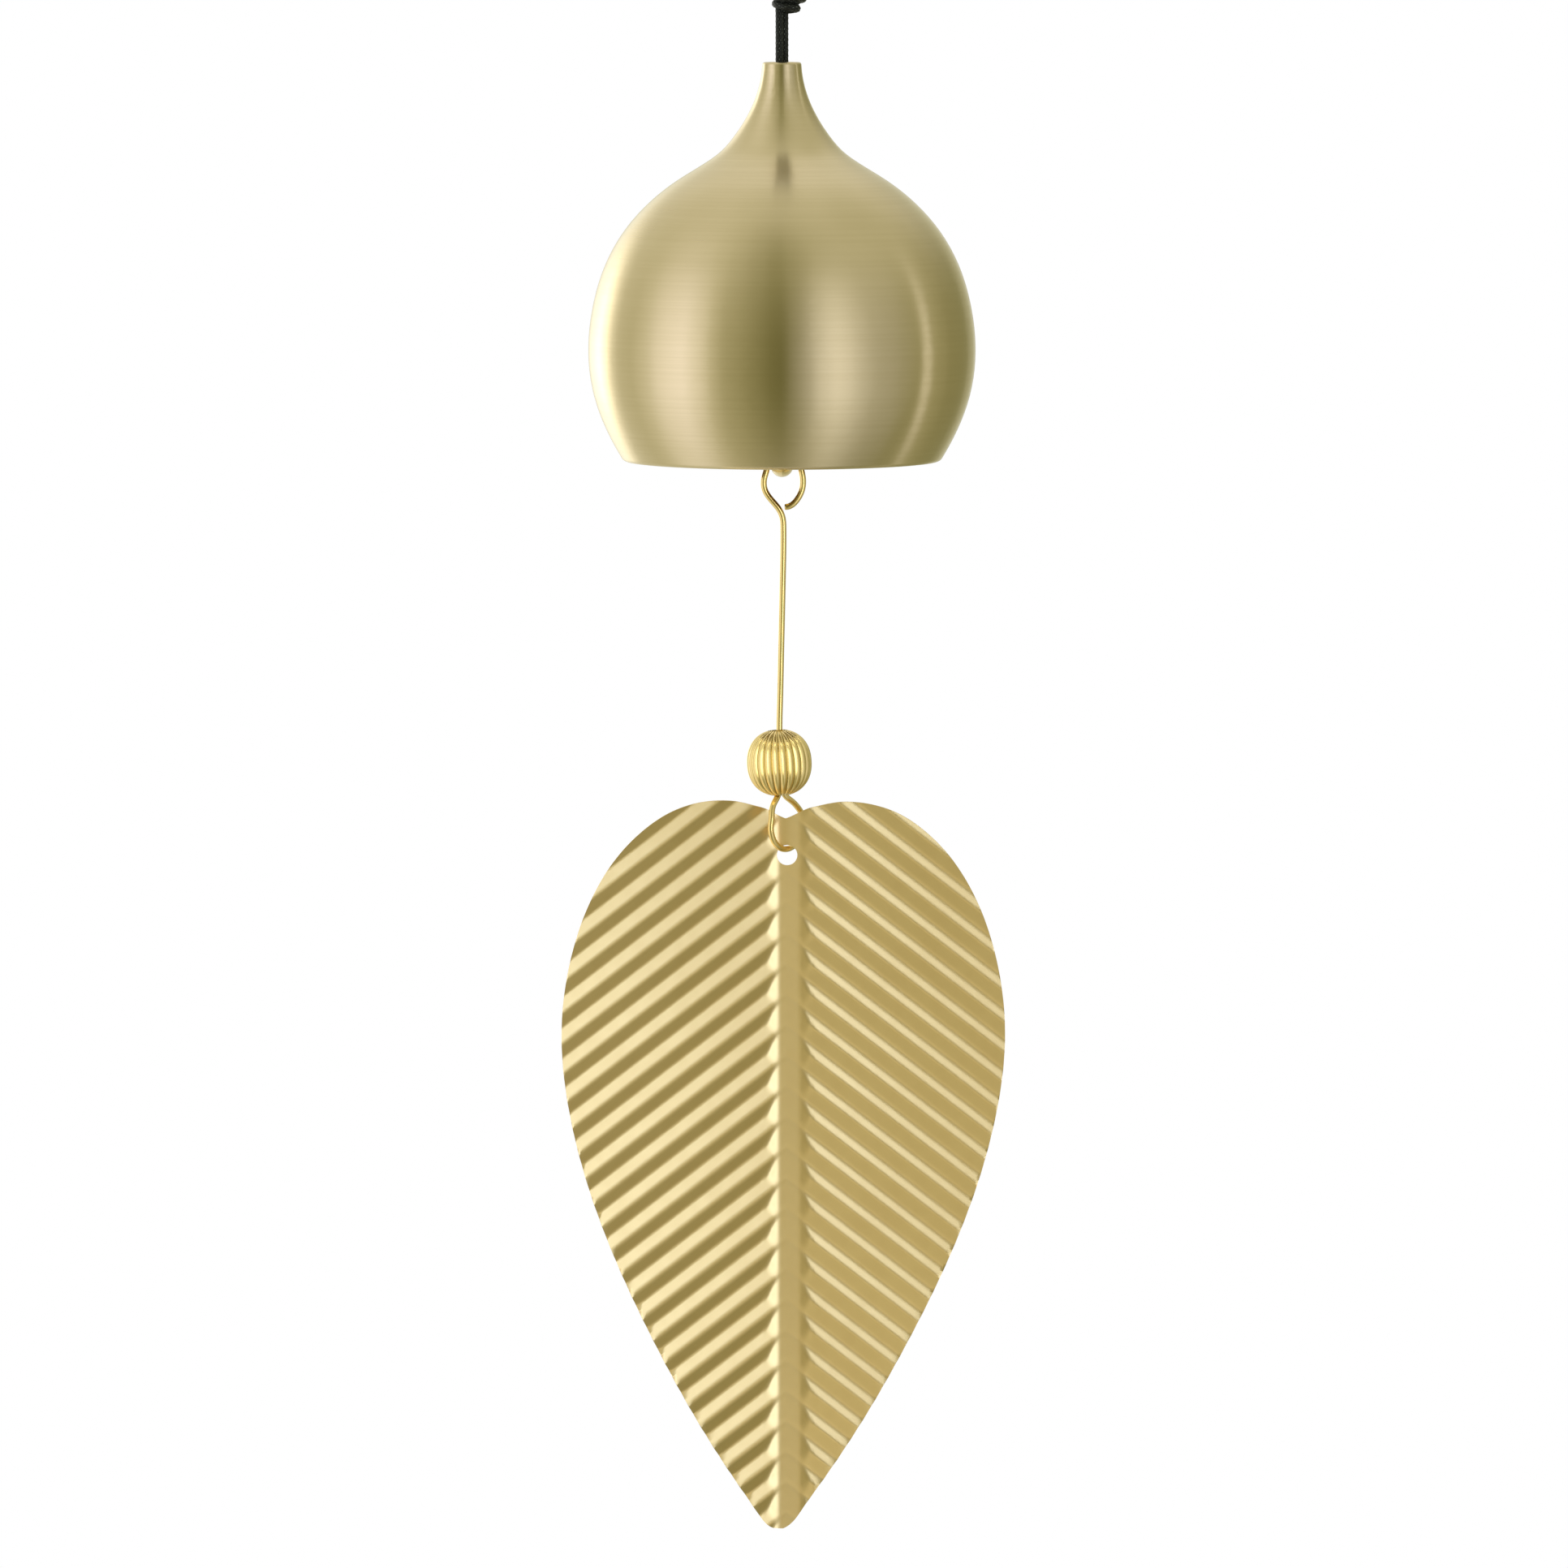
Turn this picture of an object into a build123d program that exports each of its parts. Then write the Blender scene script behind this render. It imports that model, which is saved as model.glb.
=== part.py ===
"""Wind bell of cast brass that hangs on a doubled black cord.

A ring clapper hangs inside the bell on the same cord. A bent wire hooks over the ring, carries a
fluted bead, and ends in an eye that threads the hole of a pressed brass leaf, which catches the wind.

Millimetres. The origin is the inside top of the cord loop, where a hook would hold the bell. +Z is up,
+X is to the right and +Y is away from the viewer, and everything hangs below the origin, plumb.
"""

import math
import os

from build123d import *

# Cord: one round cord, doubled all the way, so that two strands lie side by side.
cord_diameter = 1.25
loop_drop = 20.0            # inside top of the loop down to the ends of its two legs
loop_half_width = 3.7       # widest place of the loop, to the middle of the cord
# Left half of the loop from its leg to its top: shares of the half width and of the drop.
loop_share = [(0.37, 0.19), (0.66, 0.39), (0.92, 0.60), (1.00, 0.80), (0.80, 0.95)]
loop_crown_share = 0.33     # half of the level run at the top, as a share of the half width
strand_touch = 0.03         # air between the two strands
strand_turn = 53.0          # degrees that the pair above the bell is turned about the upright

# Knots are firm lumps with flat seats above and below, where the strands enter.
knot_seat_share = 0.68      # radius of the flat seats, of the knot's
knot_waist_share = 0.85     # radius between its two turns, of the knot's
hanging_knot_width = 6.4
hanging_knot_height = 6.6
stopper_knot_width = 5.6
stopper_knot_height = 4.6
ring_knot_width = 4.4
ring_knot_height = 4.2
neck_length = 7.4           # free cord between the hanging knot and the top of the bell

# Running clearances.
hinge_gap = 0.4             # between cord ends that bend against each other
cord_gap = 0.1              # stopper knot under the bell's ceiling
cord_bend_gap = 0.55        # in the bore, between the free cord and the cord that tilts with the bell
wire_gap = 0.2              # wire resting on the ring, and ring in its tie
leaf_gap = 0.15             # leaf's hole resting on the wire

# Bell: one casting, turned outside, with a stem that is bored for the cord.
bell_diameter = 60.0
bell_height = 61.7
bell_wall = 2.2
bore_diameter = 3.2
bore_chamfer = 0.5
stem_top_round = 0.4
lip_outer_round = 1.0
lip_inner_round = 0.6
ceiling_share = 0.282       # flat ceiling inside, under the stem: its depth, of the bell's height
ceiling_radius = 5.2
cord_entry = 0.8            # how far the free cord reaches into the bore

# Outside of the bell: radius as a share of half its diameter, depth as a share of its height.
bell_profile_share = [
    (0.1000, 0.0000), (0.1035, 0.0240), (0.1130, 0.0510), (0.1427, 0.0972), (0.1927, 0.1459),
    (0.2613, 0.1945), (0.3053, 0.2188), (0.3680, 0.2431), (0.4467, 0.2674), (0.5300, 0.2925),
    (0.6033, 0.3177), (0.7167, 0.3663), (0.8033, 0.4149), (0.9167, 0.5122), (0.9767, 0.6110),
    (1.0000, 0.7326), (0.9733, 0.8314), (0.9000, 0.9287), (0.8190, 1.0000),
]
inside_from_share = 0.30    # the wall follows the outside below this share of the height

# Clapper: a plain ring that hangs edge on to the viewer.
ring_diameter = 27.0
ring_wire = 3.5
ring_below_lip = 2.5        # lowest point of the ring under the lip

# Catcher wire: hook, shank and eye bent from one wire.
wire_diameter = 0.95
hook_half_width = 3.1       # to the middle of the wire
hook_height = 9.0           # top of the arch to the cut end, middle of the wire
hook_end_share = 0.13       # where the cut end stands, of the half width
hook_heel_share = (0.80, 0.93)  # lowest bend: of the half width and of the hook's height
hook_side_drop = 6.2        # top of the arch to the lower end of the straight sides
hook_bend_radius = 2.9
hook_curl_radius = 1.2
shank_start_drop = 10.3     # top of the arch to where the wire is back on its own line
shank_bend_radius = 3.0
shank_length = 33.2         # from there to the top of the bead
eye_half_width = 3.7
eye_height = 8.3            # underside of the bead to the middle of the wire below
eye_shoulder_drop = 2.3
eye_bend_radius = 3.45
eye_shoulder_radius = 2.0
eye_turn = 50.0             # degrees that the eye is turned about the upright
eye_shift = 0.5             # the eye is bent a little to the right
strand_bend_radius = 2.0
tail_in_bead = 5.0          # the wire's cut end is hidden in the bead
strand_join = 2.0           # length in which the shank moves over to lie beside the tail
strand_run_out = 0.35       # straight wire under the bead before the eye spreads

# Bead: fluted, bored right through.
bead_diameter = 10.2
bead_height = 10.4
bead_bore = 2.5
flute_count = 24
flute_depth = 0.28
bead_profile_share = [      # radius and height of the bead, as shares of their halves
    (0.36, -1.0), (0.67, -0.84), (0.87, -0.62), (0.97, -0.34), (1.0, 0.0),
    (0.97, 0.34), (0.87, 0.62), (0.67, 0.84), (0.36, 1.0),
]

# Leaf: one pressed sheet with a flat rib down the middle and slanting grooves on both sides.
leaf_width = 69.2
leaf_height = 114.4
leaf_sheet = 0.5
leaf_hole = 3.2
leaf_hole_drop = 8.45       # top of the lobes down to the middle of the hole
leaf_lean = 0.6             # degrees that the outline leans, with its tip to the left
tip_flat = 1.6
rib_width = 3.8
rib_offset = 0.3            # the rib stands a little to the right of the hole
groove_step = 4.8           # from groove to groove along the rib
groove_fall = 37.7          # degrees that the grooves fall away from the rib
groove_depth = 0.85
groove_low_share = 0.44     # where the deepest line lies within one step
groove_crest_round = 1.0
groove_end_run = 1.5        # length of the slanting wall that closes a groove at the rib
groove_start = 1.4          # deepest line below the middle of the hole, at the rib's edge
crest_drop = 0.05           # crests lie this much below the rib

# Right half of the leaf's outline: half width and height above the tip, as shares of their sizes.
leaf_outline_share = [
    (0.049, 0.0040), (0.070, 0.0106), (0.102, 0.0240), (0.166, 0.0519), (0.349, 0.1358),
    (0.557, 0.2476), (0.735, 0.3589), (0.876, 0.4703), (0.969, 0.5821), (1.000, 0.6832),
    (0.964, 0.7773), (0.911, 0.8332), (0.826, 0.8891), (0.727, 0.9317), (0.628, 0.9610),
    (0.512, 0.9840), (0.401, 0.9956), (0.305, 1.0000), (0.190, 0.9970), (0.110, 0.9911),
]
notch_share = 0.9765        # bottom of the notch, of the leaf's height

notch_slope = (-1.0, 0.0, -0.35)   # direction in which the outline enters the notch

overrun = 5.0               # how far cutting shapes run past what they cut
fuzz = 0.001                # two levels closer than this are the same level
arc_share = 0.45            # of the shorter run beside a corner of the cord

# Levels that follow from the sizes.
strand_step = cord_diameter + strand_touch
knot_top = -(loop_drop + hinge_gap)
knot_bottom = knot_top - hanging_knot_height
stem_top = knot_bottom - neck_length
lip_level = stem_top - bell_height
ceiling_level = stem_top - ceiling_share * bell_height
stopper_top = ceiling_level - cord_gap
stopper_bottom = stopper_top - stopper_knot_height
ring_radius = (ring_diameter - ring_wire) / 2
ring_centre = lip_level - ring_below_lip + ring_diameter / 2
ring_top_wire = ring_centre + ring_radius
ring_low_wire = ring_centre - ring_radius
tie_radius = ring_wire / 2 + wire_gap + cord_diameter / 2
ring_knot_bottom = ring_top_wire + tie_radius
ring_knot_top = ring_knot_bottom + ring_knot_height
arch_top = ring_low_wire + ring_wire / 2 + wire_gap + wire_diameter / 2
shank_top = arch_top - shank_start_drop
bead_top = shank_top - shank_length
bead_bottom = bead_top - bead_height
eye_bottom = bead_bottom - eye_height
hole_centre = eye_bottom + wire_diameter / 2 + leaf_gap - leaf_hole / 2

parts = {}


def upright(radius, low, high, x=0.0, y=0.0):
    """A round rod along Z between two levels."""
    return Pos(x, y, (low + high) / 2) * Cylinder(radius, high - low)


def strands(low, high, turn):
    """The two strands of the doubled cord as upright rods, front one first."""
    dx = strand_step / 2 * math.cos(math.radians(turn))
    dy = strand_step / 2 * math.sin(math.radians(turn))
    return [upright(cord_diameter / 2, low, high, side * dx, side * dy) for side in (-1, 1)]


def knot(width, low, high):
    """A tied lump, turned: two bulging turns of cord between flat seats above and below."""
    height, bulge = high - low, width / 2
    seat, waist = knot_seat_share * bulge, knot_waist_share * bulge
    lower = ThreePointArc((seat, 0, 0), (bulge, 0, height / 4), (waist, 0, height / 2))
    upper = ThreePointArc((waist, 0, height / 2), (bulge, 0, height - height / 4), (seat, 0, height))
    ends = Polyline((seat, 0, height), (0, 0, height), (0, 0, 0), (seat, 0, 0))
    return Pos(0, 0, low) * revolve(make_face([lower, upper, *ends.edges()]), Axis.Z)


def tube(points, radii, radius):
    """A round wire along straight runs joined by arcs."""
    path = FilletPolyline(*points, radius=radii)
    solid = sweep(Plane(origin=path @ 0, z_dir=path % 0) * Circle(radius), path=path)
    section = math.pi * radius ** 2
    print(f"tube: length {path.length:.2f}, volume {solid.volume:.3f}, section times length "
          f"{section * path.length:.3f}, radii {[round(r, 2) for r in radii]}")
    return solid


def widest_arcs(points):
    """The arc at each corner that takes 0.45 of the shorter run beside it."""
    radii = []
    for before, here, after in zip(points, points[1:], points[2:]):
        one, two = Vector(*here) - Vector(*before), Vector(*after) - Vector(*here)
        half_turn = math.radians(one.get_angle(two)) / 2
        radii.append(arc_share * min(one.length, two.length) / math.tan(half_turn))
    return radii


# Hanging loop: up from the knot, round the bight and down again, with its inside top at the origin.
half = [(strand_step / 2, -loop_drop)]
half += [(x * loop_half_width, (z - 1) * loop_drop) for x, z in loop_share]
half += [(loop_crown_share * loop_half_width, cord_diameter / 2)]
loop_points = [(-x, 0, z) for x, z in half] + [(x, 0, z) for x, z in reversed(half)]
parts["hanging_loop"] = tube(loop_points, widest_arcs(loop_points), cord_diameter / 2)

# Hanging knot, and the free cord from it into the bell's bore.
parts["hanging_knot"] = knot(hanging_knot_width, knot_bottom, knot_top)
neck = strands(stem_top - cord_entry, knot_bottom, strand_turn)
parts["neck_strand_front"], parts["neck_strand_back"] = neck

# Bell body: a smooth line through the profile outside, and one wall thickness further in inside.
belly = bell_diameter / 2
outer = [(r * belly, stem_top - d * bell_height) for r, d in bell_profile_share]
outer_line = Spline(*[(r, 0, z) for r, z in outer])
inner = [(ceiling_radius, ceiling_level)]
for (r, z), (_, depth) in zip(outer, bell_profile_share):
    if inside_from_share < depth < 1:
        along = outer_line % outer_line.param_at_point(Vector(r, 0, z))
        inner.append((r + bell_wall * along.Z, z - bell_wall * along.X))
inner.append((outer[-1][0] - bell_wall, lip_level))
inner_line = Spline(*[(r, 0, z) for r, z in inner], tangents=[(1, 0, 0), outer_line % 1])
bore = bore_diameter / 2
section = [
    outer_line,
    Line(outer_line @ 1, inner_line @ 1),
    inner_line,
    Line(inner_line @ 0, (bore, 0, ceiling_level)),
    Line((bore, 0, ceiling_level), (bore, 0, stem_top)),
    Line((bore, 0, stem_top), outer_line @ 0),
]
bell = revolve(make_face(section), Axis.Z)


def rims(solid, level, radius):
    """The round edges of a turned solid at a level and a radius."""
    return [e for e in solid.edges().filter_by(GeomType.CIRCLE)
            if abs(e.center().Z - level) < fuzz and abs(e.radius - radius) < fuzz]


bell = fillet(rims(bell, lip_level, outer[-1][0]), lip_outer_round)
bell = fillet(rims(bell, lip_level, inner[-1][0]), lip_inner_round)
bell = fillet(rims(bell, stem_top, outer[0][0]), stem_top_round)
bell = chamfer(rims(bell, stem_top, bore) + rims(bell, ceiling_level, bore), bore_chamfer)
parts["bell_body"] = bell

# Cord in the bore, and the stopper knot that carries the bell from inside.
bore_top = stem_top - cord_entry - cord_bend_gap
parts["bore_strand_front"], parts["bore_strand_back"] = strands(stopper_top, bore_top, strand_turn)
parts["stopper_knot"] = knot(stopper_knot_width, stopper_bottom, stopper_top)

# Clapper: the cord goes on down, is knotted, and passes round the ring's wire.
clapper_top = stopper_bottom - hinge_gap
clapper = strands(ring_knot_top, clapper_top, 0)
parts["clapper_strand_left"], parts["clapper_strand_right"] = clapper
parts["ring_knot"] = knot(ring_knot_width, ring_knot_bottom, ring_knot_top)
tie = Pos(0, 0, ring_top_wire) * Rot(90, 0, 0) * Torus(tie_radius, cord_diameter / 2)
tie_room = 2 * (tie_radius + cord_diameter)
parts["ring_tie"] = tie & Pos(0, 0, ring_knot_bottom - tie_room / 2) * Box(tie_room, tie_room, tie_room)
parts["clapper_ring"] = Pos(0, 0, ring_centre) * Rot(0, 90, 0) * Torus(ring_radius, ring_wire / 2)

# Catcher wire: cut end, hook, shank down through the bead, eye, and the tail back into the bead.
heel_x, heel_z = hook_heel_share
pair = wire_diameter / 2 + strand_touch
strand_low = bead_bottom - strand_run_out


def on_eye(t, z, shift=0.0):
    """A point in the turned plane of the eye, t across and z up."""
    angle = math.radians(eye_turn)
    return (t * math.cos(angle) + shift, t * math.sin(angle), z)


wire_points = [
    (hook_end_share * hook_half_width, 0, arch_top - hook_height),
    (heel_x * hook_half_width, 0, arch_top - heel_z * hook_height),
    (hook_half_width, 0, arch_top - hook_side_drop),
    (hook_half_width, 0, arch_top),
    (-hook_half_width, 0, arch_top),
    (-hook_half_width, 0, arch_top - hook_side_drop),
    (0, 0, shank_top),
    (0, 0, bead_bottom + tail_in_bead + strand_join),
    on_eye(-pair, bead_bottom + tail_in_bead),
    on_eye(-pair, strand_low),
    on_eye(-eye_half_width, strand_low - eye_shoulder_drop, eye_shift),
    on_eye(-eye_half_width, eye_bottom, eye_shift),
    on_eye(eye_half_width, eye_bottom, eye_shift),
    on_eye(eye_half_width, strand_low - eye_shoulder_drop, eye_shift),
    on_eye(pair, strand_low),
    on_eye(pair, bead_bottom + tail_in_bead - wire_diameter),
]
wire_radii = [
    hook_curl_radius, shank_bend_radius, hook_bend_radius, hook_bend_radius, shank_bend_radius,
    shank_bend_radius, strand_bend_radius, strand_bend_radius, strand_bend_radius,
    eye_shoulder_radius, eye_bend_radius, eye_bend_radius, eye_shoulder_radius, strand_bend_radius,
]
parts["catcher_wire"] = tube(wire_points, wire_radii, wire_diameter / 2)


# Ribbed bead: lobed rings joined from pole to pole, and a bore through the middle.
def lobed_ring(radius, level):
    """A closed ring of equal lobes, with a sharp valley between each two."""
    valley = radius * (1 - 2 * flute_depth / bead_diameter)
    step = 2 * math.pi / flute_count
    edges = []
    for n in range(flute_count):
        a, m, b = (n * step, (n + 0.5) * step, (n + 1) * step)
        edges.append(ThreePointArc(
            (valley * math.cos(a), valley * math.sin(a), level),
            (radius * math.cos(m), radius * math.sin(m), level),
            (valley * math.cos(b), valley * math.sin(b), level)))
    return make_face(edges)


bead_middle = (bead_top + bead_bottom) / 2
bead = loft([lobed_ring(r * bead_diameter / 2, bead_middle + z * bead_height / 2)
             for r, z in bead_profile_share])
parts["ribbed_bead"] = bead - upright(bead_bore / 2, bead_bottom - overrun, bead_top + overrun)


# Leaf: a grooved block less the same block one sheet further back, cut to the outline.
fall = math.radians(groove_fall)
groove_pitch = groove_step * math.cos(fall)
rib_front = -leaf_sheet / 2
crest_front = rib_front + crest_drop
groove_front = crest_front + groove_depth
leaf_low = -(leaf_height - leaf_hole_drop)


def grooved_half(back, reach):
    """Right half of the block behind the pressed face, from the rib's middle outwards."""
    along = Vector(math.cos(fall), 0, -math.sin(fall))
    across = Vector(-math.sin(fall), 0, -math.cos(fall))
    upper, lower = groove_low_share * groove_pitch, (1 - groove_low_share) * groove_pitch
    low_slope, up_slope = math.atan(groove_depth / lower), math.atan(groove_depth / upper)
    half_angle = (math.pi - low_slope - up_slope) / 2
    reach_on_face = groove_crest_round / math.tan(half_angle)
    rounding = groove_crest_round / math.sin(half_angle) - groove_crest_round
    to_low = Vector(-math.cos(low_slope), math.sin(low_slope))
    to_high = Vector(math.cos(up_slope), math.sin(up_slope))
    inward = (to_low + to_high).normalized()
    above = math.ceil((leaf_width / 2 + leaf_hole_drop + reach) / groove_pitch)
    below = math.ceil((leaf_height + reach) / groove_pitch)
    edges = []
    for k in range(-above, below):
        valley = Vector(k * groove_pitch, groove_front)
        crest = Vector(k * groove_pitch + lower, crest_front - rounding)
        following = Vector((k + 1) * groove_pitch, groove_front)
        one, two = crest + to_low * reach_on_face, crest + to_high * reach_on_face
        top_round = ThreePointArc(one, crest + inward * rounding, two)
        edges += [Line(valley, one), top_round, Line(two, following)]
    first, last = -above * groove_pitch, below * groove_pitch
    edges += [Line((last, groove_front), (last, back)), Line((last, back), (first, back)),
              Line((first, back), (first, groove_front))]
    origin = Vector(rib_width / 2, 0, -groove_start) - along * (leaf_width / 2 + reach)
    plane = Plane(origin=origin, x_dir=across, z_dir=along)
    block = extrude(plane * make_face(edges), leaf_height + leaf_width / 2 + 2 * reach)
    width, height = leaf_width / 2 + reach, leaf_height + 2 * reach
    room = Pos(width / 2, 0, leaf_low - reach + height / 2) * Box(width, 4 * back, height)
    return block & room


def pressed_block(back, reach):
    """Everything behind the pressed face: both grooved halves and the rib between them."""
    half_block = grooved_half(back, reach)
    spread = groove_end_run * (back - rib_front) / groove_depth
    rib = make_face(Polyline(
        (-rib_width / 2, rib_front), (rib_width / 2, rib_front),
        (rib_width / 2 + spread, back), (-rib_width / 2 - spread, back), close=True))
    tall = extrude(Pos(0, 0, leaf_low - reach) * rib, leaf_height + 2 * reach)
    return half_block + mirror(half_block, Plane.YZ) + tall


block_back = groove_front + leaf_sheet + groove_depth
behind = pressed_block(block_back + overrun, 2 * overrun)
sheet = pressed_block(block_back, overrun) - Pos(0, leaf_sheet, 0) * behind
outline = [(w * leaf_width / 2, leaf_low + h * leaf_height) for w, h in leaf_outline_share]
outline = [(tip_flat / 2, leaf_low)] + outline[1:]
notch = (0, leaf_low + notch_share * leaf_height)
right = Spline(*[(x, 0, z) for x, z in outline])
shoulder = Spline(right @ 1, (0, 0, notch[1]), tangents=[right % 1, notch_slope])
left, left_shoulder = mirror(right, Plane.YZ), mirror(shoulder, Plane.YZ)
blank = make_face([right, shoulder, left, left_shoulder, Line(left @ 0, right @ 0)])
blank = extrude(Pos(0, -block_back - overrun, 0) * blank, 2 * (block_back + overrun), dir=(0, 1, 0))
leaf = Pos(rib_offset, 0, 0) * sheet & Rot(0, leaf_lean, 0) * blank
leaf -= Rot(90, 0, 0) * Cylinder(leaf_hole / 2, 4 * block_back)
parts["leaf"] = Pos(eye_shift, 0, hole_centre) * leaf

os.makedirs("parts", exist_ok=True)
for name, solid in parts.items():
    box = solid.bounding_box()
    print(f"{name}: {len(solid.solids())} solid, volume {solid.volume:.2f}, "
          f"Z {box.min.Z:.2f} to {box.max.Z:.2f}")
    export_step(solid, f"parts/{name}.step")
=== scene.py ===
"""Looks of a brass wind bell that hangs on a doubled black cord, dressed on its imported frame.

The frame is the CAD model's: +Z is up, +X to the right in the photograph and +Y away from the viewer.
Lengths are in metres, and in millimetres where a class says so. The bell and the ring are the CAD nodes with
a finish of their own. The cord, its knots, the wire, the bead and the leaf are meshes that stand for theirs.
"""

import logging
import math
from abc import ABC, abstractmethod
from dataclasses import dataclass, field
from enum import Enum
from typing import Callable

import bmesh
import bpy
import numpy as np
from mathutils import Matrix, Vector


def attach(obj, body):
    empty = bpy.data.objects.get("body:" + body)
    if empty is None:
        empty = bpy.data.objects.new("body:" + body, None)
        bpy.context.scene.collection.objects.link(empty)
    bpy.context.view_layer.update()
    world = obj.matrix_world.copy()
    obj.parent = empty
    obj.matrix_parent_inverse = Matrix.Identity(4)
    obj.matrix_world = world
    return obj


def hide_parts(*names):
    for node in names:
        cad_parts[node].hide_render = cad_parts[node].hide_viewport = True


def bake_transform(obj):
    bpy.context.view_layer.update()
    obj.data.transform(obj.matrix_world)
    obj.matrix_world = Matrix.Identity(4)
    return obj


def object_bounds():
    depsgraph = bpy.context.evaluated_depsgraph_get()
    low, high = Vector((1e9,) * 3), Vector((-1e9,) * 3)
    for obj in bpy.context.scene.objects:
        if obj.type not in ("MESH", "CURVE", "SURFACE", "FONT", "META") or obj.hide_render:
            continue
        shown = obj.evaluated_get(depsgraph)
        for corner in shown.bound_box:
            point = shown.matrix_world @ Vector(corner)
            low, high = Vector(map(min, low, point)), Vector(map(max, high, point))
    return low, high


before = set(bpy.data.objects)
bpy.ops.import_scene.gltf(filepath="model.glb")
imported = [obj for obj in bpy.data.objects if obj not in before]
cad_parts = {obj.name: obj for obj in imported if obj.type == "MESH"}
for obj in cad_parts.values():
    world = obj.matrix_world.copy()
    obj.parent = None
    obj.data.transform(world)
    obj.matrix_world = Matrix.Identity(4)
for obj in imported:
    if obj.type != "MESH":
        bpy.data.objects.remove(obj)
CAD_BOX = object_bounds()

MM = 0.001
CORD_DIAMETER = 1.25 * MM
BLACK = (0.0, 0.0, 0.0)
WHITE = (1.0, 1.0, 1.0)
Point = tuple[float, float, float]
Colour = tuple[float, float, float]
Span = tuple[float, float]
Faces = list[tuple[int, ...]]
log = logging.getLogger("wind_bell")


class Blend(Enum):
    """How a second colour goes onto a first."""

    OVER = "MIX"
    ADDED = "ADD"


class NodeTable:
    """The node tree of a material or of the world, with one method that makes any node."""

    def __init__(self, owner: bpy.types.ID) -> None:
        """Start from an empty tree.

        Args:
            owner: The material or world that the nodes belong to.
        """
        owner.use_nodes = True
        self.tree = owner.node_tree
        self.tree.nodes.clear()

    def node(self, kind: str, settings: dict | None = None, sockets: dict | None = None) -> bpy.types.Node:
        """Make a node, with its settings first and its sockets after them.

        Args:
            kind: Blender's name for the type of node.
            settings: Properties of the node, and "stops" for the stops of a ramp.
            sockets: Values or shades for its input sockets, by name or number.

        Returns:
            The new node.
        """
        made = self.tree.nodes.new(kind)
        for name, value in (settings or {}).items():
            if name == "stops":
                self._set_stops(made.color_ramp, value)
            else:
                setattr(made, name, value)
        for key, value in (sockets or {}).items():
            if isinstance(value, Shade):
                self.tree.links.new(value.socket, made.inputs[key])
            else:
                made.inputs[key].default_value = value
        return made

    def shade(self, kind: str, settings: dict | None = None, sockets: dict | None = None,
              out: int | str = 0) -> "Shade":
        """Make a node and hand back one of its outputs.

        Args:
            kind: Blender's name for the type of node.
            settings: Properties of the node.
            sockets: Values or shades for its input sockets.
            out: Name or number of the output.

        Returns:
            The output, ready for sums and products.
        """
        return Shade(self, self.node(kind, settings, sockets).outputs[out])

    def blend_colours(self, share: "Shade | float", first: "Shade | Colour", second: "Shade | Colour",
                      way: Blend = Blend.OVER) -> "Shade":
        """Mix two colours.

        Args:
            share: How much of the second colour shows.
            first: Colour where the share is 0.
            second: Colour where the share is 1.
            way: How the second goes onto the first.

        Returns:
            The mixed colour.
        """
        first, second = (c if isinstance(c, Shade) else (*c, 1.0) for c in (first, second))
        return self.shade("ShaderNodeMix", {"data_type": "RGBA", "blend_type": way.value},
                          {0: share, 6: first, 7: second}, out=2)

    @staticmethod
    def _set_stops(ramp: bpy.types.ColorRamp, stops: list[tuple[float, Colour]]) -> None:
        """Replace a ramp's stops.

        Args:
            ramp: The ramp.
            stops: Place from 0 to 1, and colour, of each stop in order.
        """
        while len(ramp.elements) > 1:
            ramp.elements.remove(ramp.elements[-1])
        ramp.elements[0].position = stops[0][0]
        ramp.elements[0].color = (*stops[0][1], 1.0)
        for place, colour in stops[1:]:
            ramp.elements.new(place).color = (*colour, 1.0)


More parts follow.
